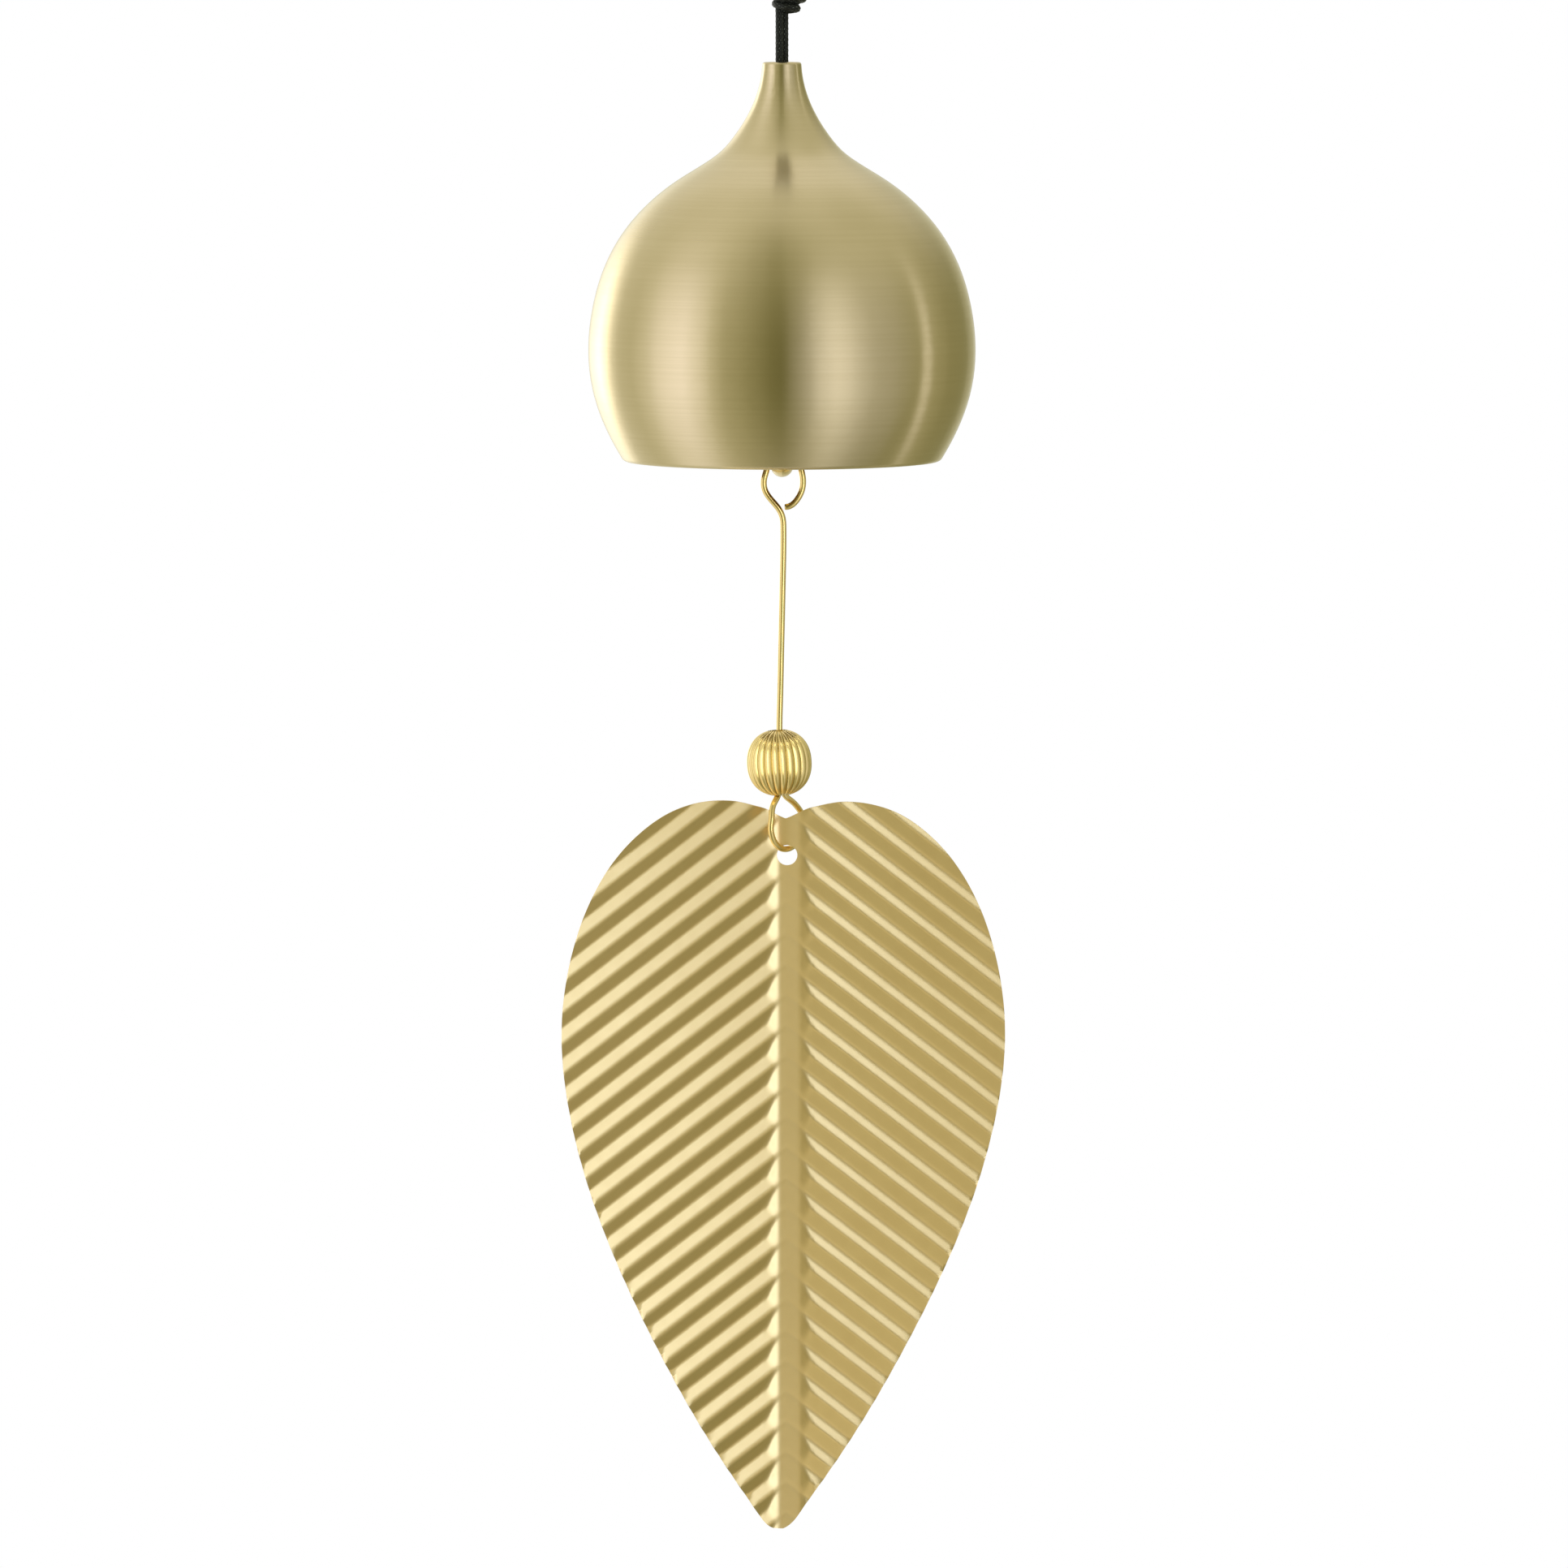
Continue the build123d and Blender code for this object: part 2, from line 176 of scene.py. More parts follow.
@dataclass(frozen=True)
class Shade:
    """One output socket. Sums, products and powers of shades add Math nodes to their tree."""

    table: NodeTable
    socket: bpy.types.NodeSocket

    def _math(self, operation: str, first: "Shade | float", second: "Shade | float") -> "Shade":
        """Make a Math node of two values.

        Args:
            operation: The node's operation.
            first: Its first value.
            second: Its second value.

        Returns:
            The result.
        """
        return self.table.shade("ShaderNodeMath", {"operation": operation}, {0: first, 1: second})

    def __add__(self, other: "Shade | float") -> "Shade":
        """Sum."""
        return self._math("ADD", self, other)

    def __radd__(self, other: float) -> "Shade":
        """Sum with a number in front."""
        return self._math("ADD", other, self)

    def __sub__(self, other: "Shade | float") -> "Shade":
        """Difference."""
        return self._math("SUBTRACT", self, other)

    def __rsub__(self, other: float) -> "Shade":
        """Difference from a number."""
        return self._math("SUBTRACT", other, self)

    def __mul__(self, other: "Shade | float") -> "Shade":
        """Product."""
        return self._math("MULTIPLY", self, other)

    def __rmul__(self, other: float) -> "Shade":
        """Product with a number in front."""
        return self._math("MULTIPLY", other, self)

    def __pow__(self, other: float) -> "Shade":
        """Power."""
        return self._math("POWER", self, other)

    def __neg__(self) -> "Shade":
        """This value with its sign turned."""
        return self * -1.0

    def at_most(self, top: float) -> "Shade":
        """This value, or the top where it is higher."""
        return self._math("MINIMUM", self, top)

    def turn_from(self, other: "Shade") -> "Shade":
        """Angle, in radians, whose opposite side is this value and whose near side is the other."""
        return self._math("ARCTAN2", self, other)

    def between(self, low: float, high: float) -> "Shade":
        """Smooth step from 0 at the low value to 1 at the high value."""
        return self.table.shade("ShaderNodeMapRange", {"interpolation_type": "SMOOTHSTEP"},
                                {"Value": self, "From Min": low, "From Max": high})

    def stretched(self, factors: Point) -> "Shade":
        """This vector with each of its parts multiplied."""
        return self.table.shade("ShaderNodeVectorMath", {"operation": "MULTIPLY"}, {0: self, 1: factors})

    def parts(self) -> "tuple[Shade, Shade, Shade]":
        """The three parts of this vector."""
        split = self.table.node("ShaderNodeSeparateXYZ", None, {0: self})
        return tuple(Shade(self.table, split.outputs[n]) for n in range(3))

    def noise(self, scale: float, detail: float) -> "Shade":
        """Soft noise from 0 to 1 at the place that this vector gives.

        Args:
            scale: Waves to the metre.
            detail: Number of finer layers.

        Returns:
            The noise.
        """
        return self.table.shade("ShaderNodeTexNoise", None,
                                {"Vector": self, "Scale": scale, "Detail": detail})


class Grain(Enum):
    """How a brass surface was worked, as the waves of its fine marks to the metre along X, Y and Z."""

    TURNED = (14.0, 14.0, 2600.0)
    PRESSED = (420.0, 420.0, 420.0)
    POLISHED = (260.0, 260.0, 60.0)


@dataclass(frozen=True)
class Brass:
    """A brass finish: satin or polished, under thin clear lacquer."""

    # Waves of the tarnish's patches to the metre, and their share in where it shows. The grain has the rest.
    PATCHES = 55.0
    PATCH_SHARE = 0.55
    # Spans over which the tarnish comes in, on the patches and on the marks, and over which the painted shade
    # in the grooves gives way to the brass on the ribs.
    PATCH_SPAN = (0.35, 0.75)
    MARK_SPAN = (0.3, 0.7)
    GROOVE_SHADE_SPAN = (0.0, 0.5)

    name: str
    colour: Colour
    tarnish: Colour
    roughness: float
    roughness_spread: float
    grain: Grain
    grain_height: float
    brushed: float = 0.0
    brushed_turn: float = 0.25
    lacquer: float = 0.1
    # Painted shade: a darker colour in the grooves between ribs, where there are any.
    hollows: Colour | None = None

    def make(self) -> bpy.types.Material:
        """Build the material.

        Returns:
            The material, with fine marks of its grain, a little uneven tarnish, and painted shade in the
            grooves where it has any.
        """
        material = bpy.data.materials.new(self.name)
        table = NodeTable(material)
        place = table.shade("ShaderNodeTexCoord", out="Object")
        marks = place.stretched(self.grain.value).noise(1.0, 4.0)
        patches = place.noise(self.PATCHES, 3.0)
        share = self.PATCH_SHARE * patches.between(*self.PATCH_SPAN) \
            + (1.0 - self.PATCH_SHARE) * marks.between(*self.MARK_SPAN)
        colour = table.blend_colours(share, self.colour, self.tarnish)
        # Painted shade: the grooves, and the poles, take the darker colour by the bead's mask.
        if self.hollows:
            crown = table.shade("ShaderNodeAttribute", {"attribute_name": RibbedBead.GROOVE_SHADE_MASK}, out="Fac")
            colour = table.blend_colours(crown.between(*self.GROOVE_SHADE_SPAN), self.hollows, colour)
        roughness = self.roughness + self.roughness_spread * (marks + patches - 1.0)
        bump = table.shade("ShaderNodeBump", None,
                           {"Strength": 1.0, "Distance": self.grain_height, "Height": marks})
        shader = table.shade("ShaderNodeBsdfPrincipled", {"distribution": "MULTI_GGX"}, {
            "Base Color": colour, "Metallic": 1.0, "Roughness": roughness, "Normal": bump,
            "Anisotropic": self.brushed, "Anisotropic Rotation": self.brushed_turn,
            "Coat Weight": self.lacquer, "Coat Roughness": 0.12})
        table.node("ShaderNodeOutputMaterial", None, {"Surface": shader})
        return material


@dataclass(frozen=True)
class Braid:
    """Black braided cord, with a painted dull green-grey highlight on its raised yarns and painted shade in
    its hollows.
    """

    # Waves of the fibres to the metre, and how far they stand out.
    FIBRES = 5200.0
    FIBRE_HEIGHT = 0.03 * MM
    # Spans over which the yarn's colour comes up out of the hollows' painted shade, and the painted highlight
    # comes in on the fibres.
    YARN_SPAN = (0.15, 0.7)
    PAINTED_GLINT_SPAN = (0.5, 0.72)
    # How closely the painted highlight keeps to the crowns.
    PAINTED_GLINT_FOCUS = 6.0
    # Roughness in the hollows, what the crowns take off it and what the fibres add.
    ROUGHNESS = 0.6
    CROWN_POLISH = 0.3
    FIBRE_ROUGHNESS = 0.1

    name: str
    yarn: Colour
    # Painted shade: the darker colour of the hollows between the yarns.
    hollow: Colour
    # Painted highlight: the colour that the crowns' fibres turn to.
    painted_glint: Colour

    def make(self) -> bpy.types.Material:
        """Build the material.

        Returns:
            The material, whose colour follows the height of the yarns, with painted shade in the hollows and
            a painted highlight on the crowns.
        """
        material = bpy.data.materials.new(self.name)
        table = NodeTable(material)
        height = table.shade("ShaderNodeAttribute", {"attribute_name": BraidedTube.HEIGHT}, out="Fac")
        place = table.shade("ShaderNodeTexCoord", out="Object")
        fibres = place.noise(self.FIBRES, 2.0)
        # Painted shade in the hollows, and a painted highlight on the crowns' fibres, go into the base
        # colour.
        body = table.blend_colours(height.between(*self.YARN_SPAN), self.hollow, self.yarn)
        shining = fibres.between(*self.PAINTED_GLINT_SPAN) * height ** self.PAINTED_GLINT_FOCUS
        roughness = self.ROUGHNESS - self.CROWN_POLISH * height + self.FIBRE_ROUGHNESS * fibres
        bump = table.shade("ShaderNodeBump", None,
                           {"Strength": 0.6, "Distance": self.FIBRE_HEIGHT, "Height": fibres})
        shader = table.shade("ShaderNodeBsdfPrincipled", None, {
            "Base Color": table.blend_colours(shining, body, self.painted_glint), "Roughness": roughness,
            "Normal": bump, "Specular IOR Level": 0.3, "Sheen Weight": 0.06, "Sheen Roughness": 0.4})
        table.node("ShaderNodeOutputMaterial", None, {"Surface": shader})
        return material


BELL_BRASS = Brass("bell_brass", (0.80, 0.665, 0.42), (0.75, 0.62, 0.375), 0.26, 0.04,
                   Grain.TURNED, 0.000004, brushed=0.88)
LEAF_BRASS = Brass("leaf_brass", (0.90, 0.69, 0.35), (0.86, 0.65, 0.32), 0.42, 0.04,
                   Grain.PRESSED, 0.000004)
GILT_BRASS = Brass("gilt_brass", (0.97, 0.76, 0.34), (0.92, 0.68, 0.26), 0.20, 0.04,
                   Grain.POLISHED, 0.000002, lacquer=0.2)
# The bead's third colour is the painted shade in its grooves.
BEAD_BRASS = Brass("bead_brass", (0.98, 0.78, 0.36), (0.95, 0.72, 0.29), 0.29, 0.03,
                   Grain.POLISHED, 0.000001, lacquer=0.15, hollows=(0.36, 0.25, 0.06))
# Colours of the yarns, of the painted shade in their hollows and of their painted highlight.
CORD_BLACK = Braid("cord_black", (0.010, 0.012, 0.011), (0.003, 0.0035, 0.003), (0.42, 0.48, 0.42))


def spline_points(route: list[Point]) -> np.ndarray:
    """Points along a smooth NURBS line that has a cord's route as its control points.

    Args:
        route: The route, in millimetres.

    Returns:
        Points on the line in order, one a row, in metres.
    """
    curve = bpy.data.curves.new("route", "CURVE")
    curve.dimensions = "3D"
    curve.resolution_u = 24
    spline = curve.splines.new("NURBS")
    spline.points.add(len(route) - 1)
    for control, (x, y, z) in zip(spline.points, route):
        control.co = (x * MM, y * MM, z * MM, 1.0)
    spline.order_u = 3
    spline.use_endpoint_u = True
    carrier = bpy.data.objects.new("route", curve)
    bpy.context.scene.collection.objects.link(carrier)
    line = bpy.data.meshes.new_from_object(carrier)
    found = np.array([v.co[:] for v in line.vertices])
    bpy.data.objects.remove(carrier)
    bpy.data.curves.remove(curve)
    bpy.data.meshes.remove(line)
    return found


def step_lengths(line: np.ndarray) -> np.ndarray:
    """Distance from each point of a line to the next."""
    return np.linalg.norm(np.diff(line, axis=0), axis=1)


def line_length(line: np.ndarray) -> float:
    """Length of a line through points."""
    return float(step_lengths(line).sum())


def distances(line: np.ndarray) -> np.ndarray:
    """Distance of each point of a line from its start, along the line."""
    return np.concatenate([[0.0], np.cumsum(step_lengths(line))])


def evenly(line: np.ndarray, step: float) -> np.ndarray:
    """A line's points again, at even steps.

    Args:
        line: Points in order.
        step: Wanted distance between points.

    Returns:
        The new points, with the same two ends.
    """
    along = distances(line)
    wanted = np.linspace(0.0, along[-1], round(along[-1] / step) + 1)
    return np.stack([np.interp(wanted, along, line[:, axis]) for axis in range(3)], axis=1)


def bent_through(bends: np.ndarray, step: float) -> np.ndarray:
    """A springy line through points, as a wire takes when it is bent round pins.

    Args:
        bends: The points, one a row.
        step: Distance between the points of the line.

    Returns:
        Points on the line at even steps.
    """
    along = distances(bends)
    gap = np.diff(along)
    count = len(bends)
    rows, right = np.eye(count), np.zeros_like(bends)
    for n in range(1, count - 1):
        rows[n, n - 1:n + 2] = gap[n - 1], 2 * (gap[n - 1] + gap[n]), gap[n]
        right[n] = 6 * ((bends[n + 1] - bends[n]) / gap[n] - (bends[n] - bends[n - 1]) / gap[n - 1])
    bow = np.linalg.solve(rows, right)
    points_per_step = 3
    wanted = np.linspace(0, along[-1], round(along[-1] / step) * points_per_step)
    n = np.clip(np.searchsorted(along, wanted) - 1, 0, count - 2)
    ahead, behind, wide = (along[n + 1] - wanted)[:, None], (wanted - along[n])[:, None], gap[n][:, None]
    curve = (bow[n] * ahead ** 3 + bow[n + 1] * behind ** 3) / (6 * wide)
    from_start = (bends[n] / wide - bow[n] * wide / 6) * ahead
    to_stop = (bends[n + 1] / wide - bow[n + 1] * wide / 6) * behind
    return evenly(curve + from_start + to_stop, step)


def full_turn(steps: int) -> np.ndarray:
    """Angles, in radians, at even steps round a full turn."""
    return np.arange(steps) * (2 * math.pi / steps)


def rings_about(line: np.ndarray, radius: np.ndarray) -> np.ndarray:
    """Rings of points square to a line, turned no more than the line turns.

    Args:
        line: Points in order. The line doesn't start along Y.
        radius: Distances from the line, a row for each of its points and a column for each point of a ring.

    Returns:
        The rings in order, each a row of points.
    """
    forward = np.gradient(line, axis=0)
    forward /= np.linalg.norm(forward, axis=1)[:, None]
    start = np.cross(forward[0], (0.0, 1.0, 0.0))
    across = [start / np.linalg.norm(start)]
    for direction in forward[1:]:
        kept = across[-1] - direction * across[-1].dot(direction)
        across.append(kept / np.linalg.norm(kept))
    across = np.array(across)
    beside = np.cross(forward, across)
    turn = full_turn(radius.shape[1])[None, :, None]
    outward = np.cos(turn) * across[:, None] + np.sin(turn) * beside[:, None]
    return line[:, None] + radius[:, :, None] * outward


def faces_between(count: int, around: int, closed: bool = False, first: int = 0) -> Faces:
    """Faces that join rings of points, with a cap at both ends where they aren't closed.

    Args:
        count: Number of rings.
        around: Number of points in a ring.
        closed: Whether the last ring joins the first.
        first: Number of the first point.

    Returns:
        The faces, with the two caps last.
    """
    faces = []
    for n in range(count if closed else count - 1):
        row, above = first + n * around, first + (n + 1) % count * around
        faces += [(row + k, row + (k + 1) % around, above + (k + 1) % around, above + k)
                  for k in range(around)]
    if not closed:
        last = first + (count - 1) * around
        faces += [tuple(range(first + around - 1, first - 1, -1)), tuple(range(last, last + around))]
    return faces


def add_mesh(name: str, corners: np.ndarray | list[Point], faces: Faces) -> bpy.types.Object:
    """Build a smooth mesh and link it into the scene.

    Args:
        name: Name of the mesh and its object.
        corners: Its points, in rows of any number.
        faces: Numbers of the points round each face.

    Returns:
        The object.
    """
    mesh = bpy.data.meshes.new(name)
    mesh.from_pydata(np.reshape(corners, (-1, 3)).tolist(), [], faces)
    mesh.polygons.foreach_set("use_smooth", [True] * len(faces))
    mesh.update()
    made = bpy.data.objects.new(name, mesh)
    bpy.context.scene.collection.objects.link(made)
    return made


def mark_points(piece: bpy.types.Object, name: str, values: np.ndarray) -> None:
    """Give each point of a piece a value for its material to read.

    Args:
        piece: The piece.
        name: Name that the material reads it by.
        values: The values, in the order of the points.
    """
    layer = piece.data.attributes.new(name, "FLOAT", "POINT")
    layer.data.foreach_set("value", values.astype(np.float32).reshape(-1))


@dataclass
class BraidedTube:
    """One mesh of braided cord that follows one line or several."""

    HEIGHT = "yarn_height"

    # Height of a yarn where it starts to pass over another, as a share of its height amid the pass.
    dip: float = 0.55
    relief: float = 0.075 * MM
    carriers: int = 8
    cell: float = 0.83 * MM
    step: float = 0.085 * MM
    around: int = 40
    # Rings that round off each end, and the square of the last one's share of the full radius.
    end_rings: int = 4
    tip: float = 0.05

    def make(self, name: str, lines: list[np.ndarray], material: bpy.types.Material) -> bpy.types.Object:
        """Build the mesh and dress it.

        Args:
            name: Name of the piece.
            lines: A line of points for each cord in the piece.
            material: Its finish.

        Returns:
            The piece, with its finish.
        """
        corners, faces, heights = [], [], []
        for line in lines:
            rings, height = self._rings(evenly(line, self.step))
            faces += faces_between(len(rings), self.around, first=sum(r.size // 3 for r in corners))
            corners.append(rings)
            heights.append(height)
        piece = add_mesh(name, np.concatenate(corners), faces)
        mark_points(piece, self.HEIGHT, np.concatenate(heights))
        piece.data.materials.append(material)
        return piece

    def _rings(self, line: np.ndarray) -> tuple[np.ndarray, np.ndarray]:
        """Points on the yarns of one cord.

        Args:
            line: Its points at even steps.

        Returns:
            The rings of points, and the height of the yarns at each point.
        """
        count = len(line)
        along = np.arange(count) * (line_length(line) / (count - 1))
        height = self._yarns(along[:, None], full_turn(self.around)[None, :])
        rounding = np.ones(count)
        ends = np.sqrt(np.clip(1 - (1 - np.arange(self.end_rings) / self.end_rings) ** 2, self.tip, 1))
        rounding[:self.end_rings], rounding[-self.end_rings:] = ends, ends[::-1]
        radius = (CORD_DIAMETER / 2 - self.relief * (1 - height)) * rounding[:, None]
        return rings_about(line, radius), height

    def _yarns(self, along: np.ndarray, turn: np.ndarray) -> np.ndarray:
        """Height of the yarns, from 0 in the hollows to 1 on the crowns.

        Args:
            along: Distance along the cord.
            turn: Angle round it.

        Returns:
            The heights, for every pair of the two.
        """
        rise = along / self.cell
        one = self.carriers * turn / (2 * math.pi) + rise
        other = self.carriers * turn / (2 * math.pi) - rise
        crown_one, crown_other = (1 - (2 * (side % 1) - 1) ** 2 for side in (one, other))
        on_top = (np.floor(one) + np.floor(other)) % 2 < 1
        return np.where(on_top, crown_one * (self.dip + (1 - self.dip) * crown_other),
                        crown_other * (self.dip + (1 - self.dip) * crown_one))


BRAIDED_CORD = BraidedTube()


@dataclass
class TiedKnot:
    """A knot of doubled cord, in millimetres: turns wound round the cord that runs through it."""

    # In diameters of the cord: half the distance between the two cords' turns, what these leave free of the
    # knot's height, and how far inside its top and its foot the cords start and end.
    APART = 0.47
    FREE = 2.1
    TOP_INSIDE = 0.35
    FOOT_INSIDE = 0.4
    # In millimetres: half the distance between the cords at the two places, and how far back they end.
    TOP_APART = 0.5
    FOOT_APART = 0.4
    FOOT_BACK = 0.3
    POINTS_PER_TURN = 8

    name: str
    body: str
    node: str
    width: float
    low: float
    high: float
    turns: float
    start: float = 0.0
    shift: float = 0.0

    def lines(self) -> list[np.ndarray]:
        """Lines of the two cords, side by side.

        Returns:
            A line of points for each cord, in metres.
        """
        found = []
        cord = CORD_DIAMETER / MM
        fall, wide = self.high - self.low - self.FREE * cord, (self.width - cord) / 2
        count = round(self.turns * self.POINTS_PER_TURN)
        for side in (-1, 1):
            points = [(side * self.TOP_APART, 0.0, self.high - self.TOP_INSIDE * cord)]
            for n in range(count + 1):
                share = n / count
                angle = math.radians(self.start) + 2 * math.pi * self.turns * share
                out = wide * self._bulge(share, angle, side)
                points.append((out * math.cos(angle) + self.shift * share, out * math.sin(angle),
                               self.high - cord - share * fall + side * self.APART * cord))
            points.append((side * self.FOOT_APART, self.FOOT_BACK, self.low + self.FOOT_INSIDE * cord))
            found.append(spline_points(points))
        return found

    @staticmethod
    def _bulge(share: float, angle: float, side: int) -> float:
        """How far out a turn lies, where 1 is the knot's full width.

        Args:
            share: How far down the knot it is, from 0 to 1.
            angle: Angle round the knot.
            side: -1 for the one cord and 1 for the other.

        Returns:
            The distance.
        """
        belly = 0.86 + 0.14 * math.sin(math.pi * share)
        unevenness = 0.05 * math.sin(2.3 * angle + side)
        last_turns = max(0.0, (share - 0.7) / 0.3)
        return belly + unevenness - 0.4 * last_turns ** 2

    def make(self, material: bpy.types.Material) -> bpy.types.Object:
        """Build and dress the knot.

        Args:
            material: Its finish.

        Returns:
            The piece, on its body.
        """
        piece = BRAIDED_CORD.make(self.name, self.lines(), material)
        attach(piece, self.body)
        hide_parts(self.node)
        return piece


@dataclass
class FreeCord(ABC):
    """A stretch of the cord with a knot on it, on a route in millimetres."""

    PATH_STEP = 0.5 * MM

    name: str
    nodes: tuple[str, ...]
    knot: TiedKnot
    route: list[Point]

    @abstractmethod
    def attach(self, piece: bpy.types.Object) -> None:
        """Bake a piece in place, or put it on the body that the cord hangs on."""

    def make(self, material: bpy.types.Material) -> list[bpy.types.Object]:
        """Build and dress the cord and its knot.

        Args:
            material: Its finish.

        Returns:
            The cord and the knot.
        """
        knot = self.knot.make(material)
        line = spline_points(self.route)
        piece = BRAIDED_CORD.make(self.name, [line], material)
        self.attach(piece)
        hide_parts(*self.nodes)
        return [piece, knot]


@dataclass
class HangingCord(FreeCord):
    """The doubled cord above the bell: up the front strand, round the loop and down the back strand."""

    name: str = "hanging_cord"
    nodes: tuple[str, ...] = ("hanging_loop", "neck_strand_front", "neck_strand_back")
    knot: TiedKnot = field(default_factory=lambda: TiedKnot(
        "hanging_knot_tied", "neck", "hanging_knot", width=6.4, low=-27.0, high=-20.4, turns=2.4, start=200.0,
        shift=1.4))
    route: list[Point] = field(default_factory=lambda: [
        (-0.385, -0.511, -35.2), (-0.385, -0.511, -32.6), (-0.385, -0.511, -29.2), (-0.385, -0.511, -26.0),
        (-0.64, 0, -23.2), (-0.64, 0, -20), (-1.369, 0, -16.2), (-2.442, 0, -12.2), (-3.404, 0, -8.0),
        (-3.7, 0, -4.0), (-2.96, 0, -1.0), (-1.221, 0, 0.625), (1.221, 0, 0.625), (2.96, 0, -1.0),
        (3.7, 0, -4.0), (3.404, 0, -8.0), (2.442, 0, -12.2), (1.369, 0, -16.2), (0.64, 0, -20),
        (0.64, 0, -23.2), (0.385, 0.511, -26.0), (0.385, 0.511, -29.2), (0.385, 0.511, -32.6),
        (0.385, 0.511, -35.2)])
    # Height at which the cord bends on its swing, and how far to either side of it the bend reaches.
    bend: float = -20.2
    bend_reach: float = 0.9

    def attach(self, piece: bpy.types.Object) -> None:
        """Bake the piece's place into its mesh."""
        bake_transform(piece)


@dataclass
class BoreCord:
    """The doubled cord inside the bell's stem, and the stopper knot under the ceiling, in millimetres."""

    knot: TiedKnot = field(default_factory=lambda: TiedKnot(
        "stopper_knot_tied", "bell", "stopper_knot", width=5.6, low=-56.5, high=-51.9, turns=1.6, start=40.0))
    route: list[Point] = field(default_factory=lambda: [
        (0.385, 0.511, -35.75), (0.385, 0.511, -42.0), (0.385, 0.511, -48.0), (0.5, 0.3, -52.5),
        (0.64, 0, -54.5), (0.64, 0, -56.2)])

    def make(self, material: bpy.types.Material) -> list[bpy.types.Object]:
        """Build and dress the cord and its knot.

        Args:
            material: Its finish.

        Returns:
            The cord and the knot.
        """
        mirrored = [(-x, -y, z) for x, y, z in self.route]
        lines = [spline_points(route) for route in (self.route, mirrored)]
        piece = BRAIDED_CORD.make("bore_cord", lines, material)
        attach(piece, "bell")
        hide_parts("bore_strand_front", "bore_strand_back")
        return [piece, self.knot.make(material)]


@dataclass
class ClapperCord(FreeCord):
    """The cord below the bell's ceiling: down one strand, round the ring's wire and up the other."""

    name: str = "clapper_cord_doubled"
    nodes: tuple[str, ...] = ("clapper_strand_left", "clapper_strand_right", "ring_tie")
    knot: TiedKnot = field(default_factory=lambda: TiedKnot(
        "ring_knot_tied", "clapper_cord", "ring_knot", width=4.4, low=-70.775, high=-66.575, turns=1.5,
        start=120.0))
    route: list[Point] = field(default_factory=lambda: [
        (-0.64, 0, -56.9), (-0.64, 0, -60.2), (-0.64, 0, -63.6), (-0.64, 0, -67.4), (-0.8, 0, -69.6),
        (-2.2, 0, -71.2), (-2.85, 0, -73.2), (-2.3, 0, -75.6), (0, 0, -76.6), (2.3, 0, -75.6),
        (2.85, 0, -73.2), (2.2, 0, -71.2), (0.8, 0, -69.6), (0.64, 0, -67.4), (0.64, 0, -63.6),
        (0.64, 0, -60.2), (0.64, 0, -56.9)])

    def attach(self, piece: bpy.types.Object) -> None:
        """Make a piece ride on the cord's own body."""
        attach(piece, "clapper_cord")


@dataclass
class KeptNode:
    """A brass piece that keeps its CAD shape."""

    node: str

    def make(self, material: bpy.types.Material, slot: str) -> bpy.types.Object:
        """Dress the piece.

        Args:
            material: Its finish.
            slot: Not used.

        Returns:
            The piece.
        """
        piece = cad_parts[self.node]
        piece.data.materials.clear()
        piece.data.materials.append(material)
        return piece


@dataclass
class ShapedPiece(ABC):
    """A brass piece, in millimetres, whose mesh stands for a CAD node."""

    name: str
    node: str
    body: str

    @abstractmethod
    def shape(self) -> bpy.types.Object:
        """Build the bare piece."""

    def make(self, material: bpy.types.Material, slot: str) -> bpy.types.Object:
        """Build and dress the piece.

        Args:
            material: Its finish.
            slot: Not used.

        Returns:
            The piece, on its body.
        """
        piece = self.shape()
        piece.data.materials.append(material)
        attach(piece, self.body)
        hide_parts(self.node)
        return piece


